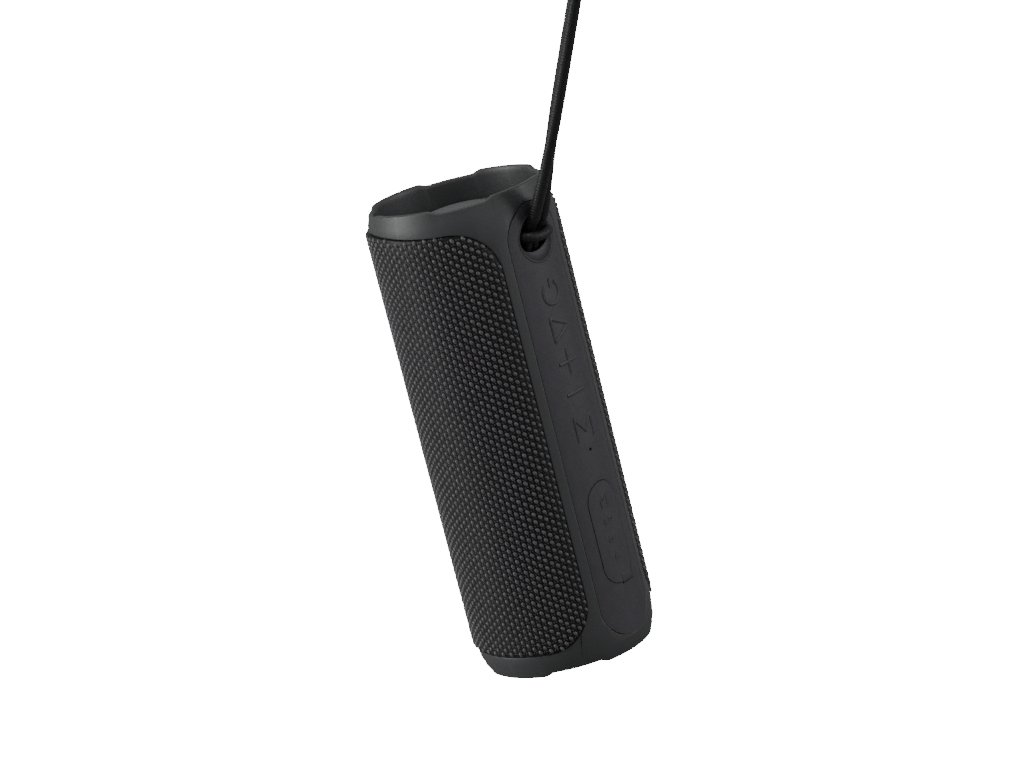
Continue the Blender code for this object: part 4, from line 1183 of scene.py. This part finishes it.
def dress_nodes():
    dress = {INNER_PLASTIC: ("grille_shell", "inner_housing", "radiator_basket_top", "radiator_basket_bottom",
                             "port_tray", "card_slot", "audio_jack", "amplifier_chip", "battery_cradle"),
             SOFT_RUBBER: ("driver_surround", "driver_cone"),
             STEEL: ("driver_basket", "driver_magnet", "driver_screw_1", "driver_screw_2", "driver_screw_3",
                     "driver_screw_4", "switch_power", "switch_play", "switch_plus", "switch_minus",
                     "switch_mode", "microphone", "board_screw_1", "board_screw_2", "lanyard_pin"),
             NICKEL: ("usb_a_socket", "usb_c_socket"),
             SOLDER_MASK: ("port_board", "key_board", "main_board"),
             CELL_WRAP: ("battery_cell_left", "battery_cell_right")}
    for material, names in dress.items():
        for name in names:
            node = frame["nodes"][name]
            node.data.materials.clear()
            node.data.materials.append(material)


# ---- studio
def area_light(name, place, aim, size, energy, colour=(1, 1, 1)):
    data = bpy.data.lights.new(name, "AREA")
    data.shape = "RECTANGLE"
    data.size, data.size_y = size
    data.energy = energy
    data.color = colour
    turned = (Vector(aim) - Vector(place)).to_track_quat("-Z", "Y").to_matrix().to_4x4()
    linked(name, data).matrix_world = Matrix.Translation(place) @ turned


def studio():
    """White paper and white surroundings that look bright from the camera but light the speaker softly."""
    deselect_objects()
    bpy.ops.mesh.primitive_plane_add(size=12, location=(0, 0, -0.2 * MM))
    floor = named("floor")
    paper, tree, shader = started("floor_paper", Roughness=0.9)
    shader.inputs["Base Color"].default_value = PAPER
    seen = put(tree, "ShaderNodeLightPath").outputs["Is Camera Ray"]
    bright = put(tree, "ShaderNodeEmission", {"Color": (1, 1, 1, 1), "Strength": WHITE})
    both = put(tree, "ShaderNodeMixShader", {0: seen, 1: shader.outputs[0], 2: bright.outputs[0]})
    # the paper is clear from below, so that the base's outline can be seen
    underside = put(tree, "ShaderNodeNewGeometry").outputs["Backfacing"]
    clear = put(tree, "ShaderNodeBsdfTransparent")
    paper_or_clear = put(tree, "ShaderNodeMixShader", {0: underside, 1: both.outputs[0], 2: clear.outputs[0]})
    tree.links.new(paper_or_clear.outputs[0], tree.nodes["Material Output"].inputs["Surface"])
    floor.data.materials.append(paper)

    world = bpy.data.worlds.new("studio")
    bpy.context.scene.world = world
    world.use_nodes = True
    tree = world.node_tree
    soft = tree.nodes["Background"]
    soft.inputs["Color"].default_value = (1.0, 1.0, 1.0, 1)
    soft.inputs["Strength"].default_value = SOFT_LIGHT
    seen = put(tree, "ShaderNodeLightPath").outputs["Is Camera Ray"]
    bright = put(tree, "ShaderNodeBackground", {"Color": (1, 1, 1, 1), "Strength": WHITE})
    both = put(tree, "ShaderNodeMixShader", {0: seen, 1: soft.outputs[0], 2: bright.outputs[0]})
    tree.links.new(both.outputs[0], tree.nodes["World Output"].inputs["Surface"])

    centre = (0, 0, 0.1)
    area_light("left_window", (-1.25, 1.0, 0.45), centre, (0.6, 1.5), 46)
    area_light("front_fill", (-0.5, -1.8, 1.0), centre, (1.2, 1.2), 7)
    area_light("right_window", (0.85, -1.4, 0.3), centre, (0.8, 1.3), 24, (1.0, 0.97, 1.0))
    area_light("overhead", (-0.2, -0.1, 1.7), centre, (0.9, 0.9), 13)


camera()
lanyard()
frame_and_rings()
knit_cover()
panel_skin()
for key_name in KEYS:
    key_cap(key_name)
eyelet()
port_flap()
radiator("top", True)
radiator("bottom", False)
socket_insulators()
dress_nodes()
studio()
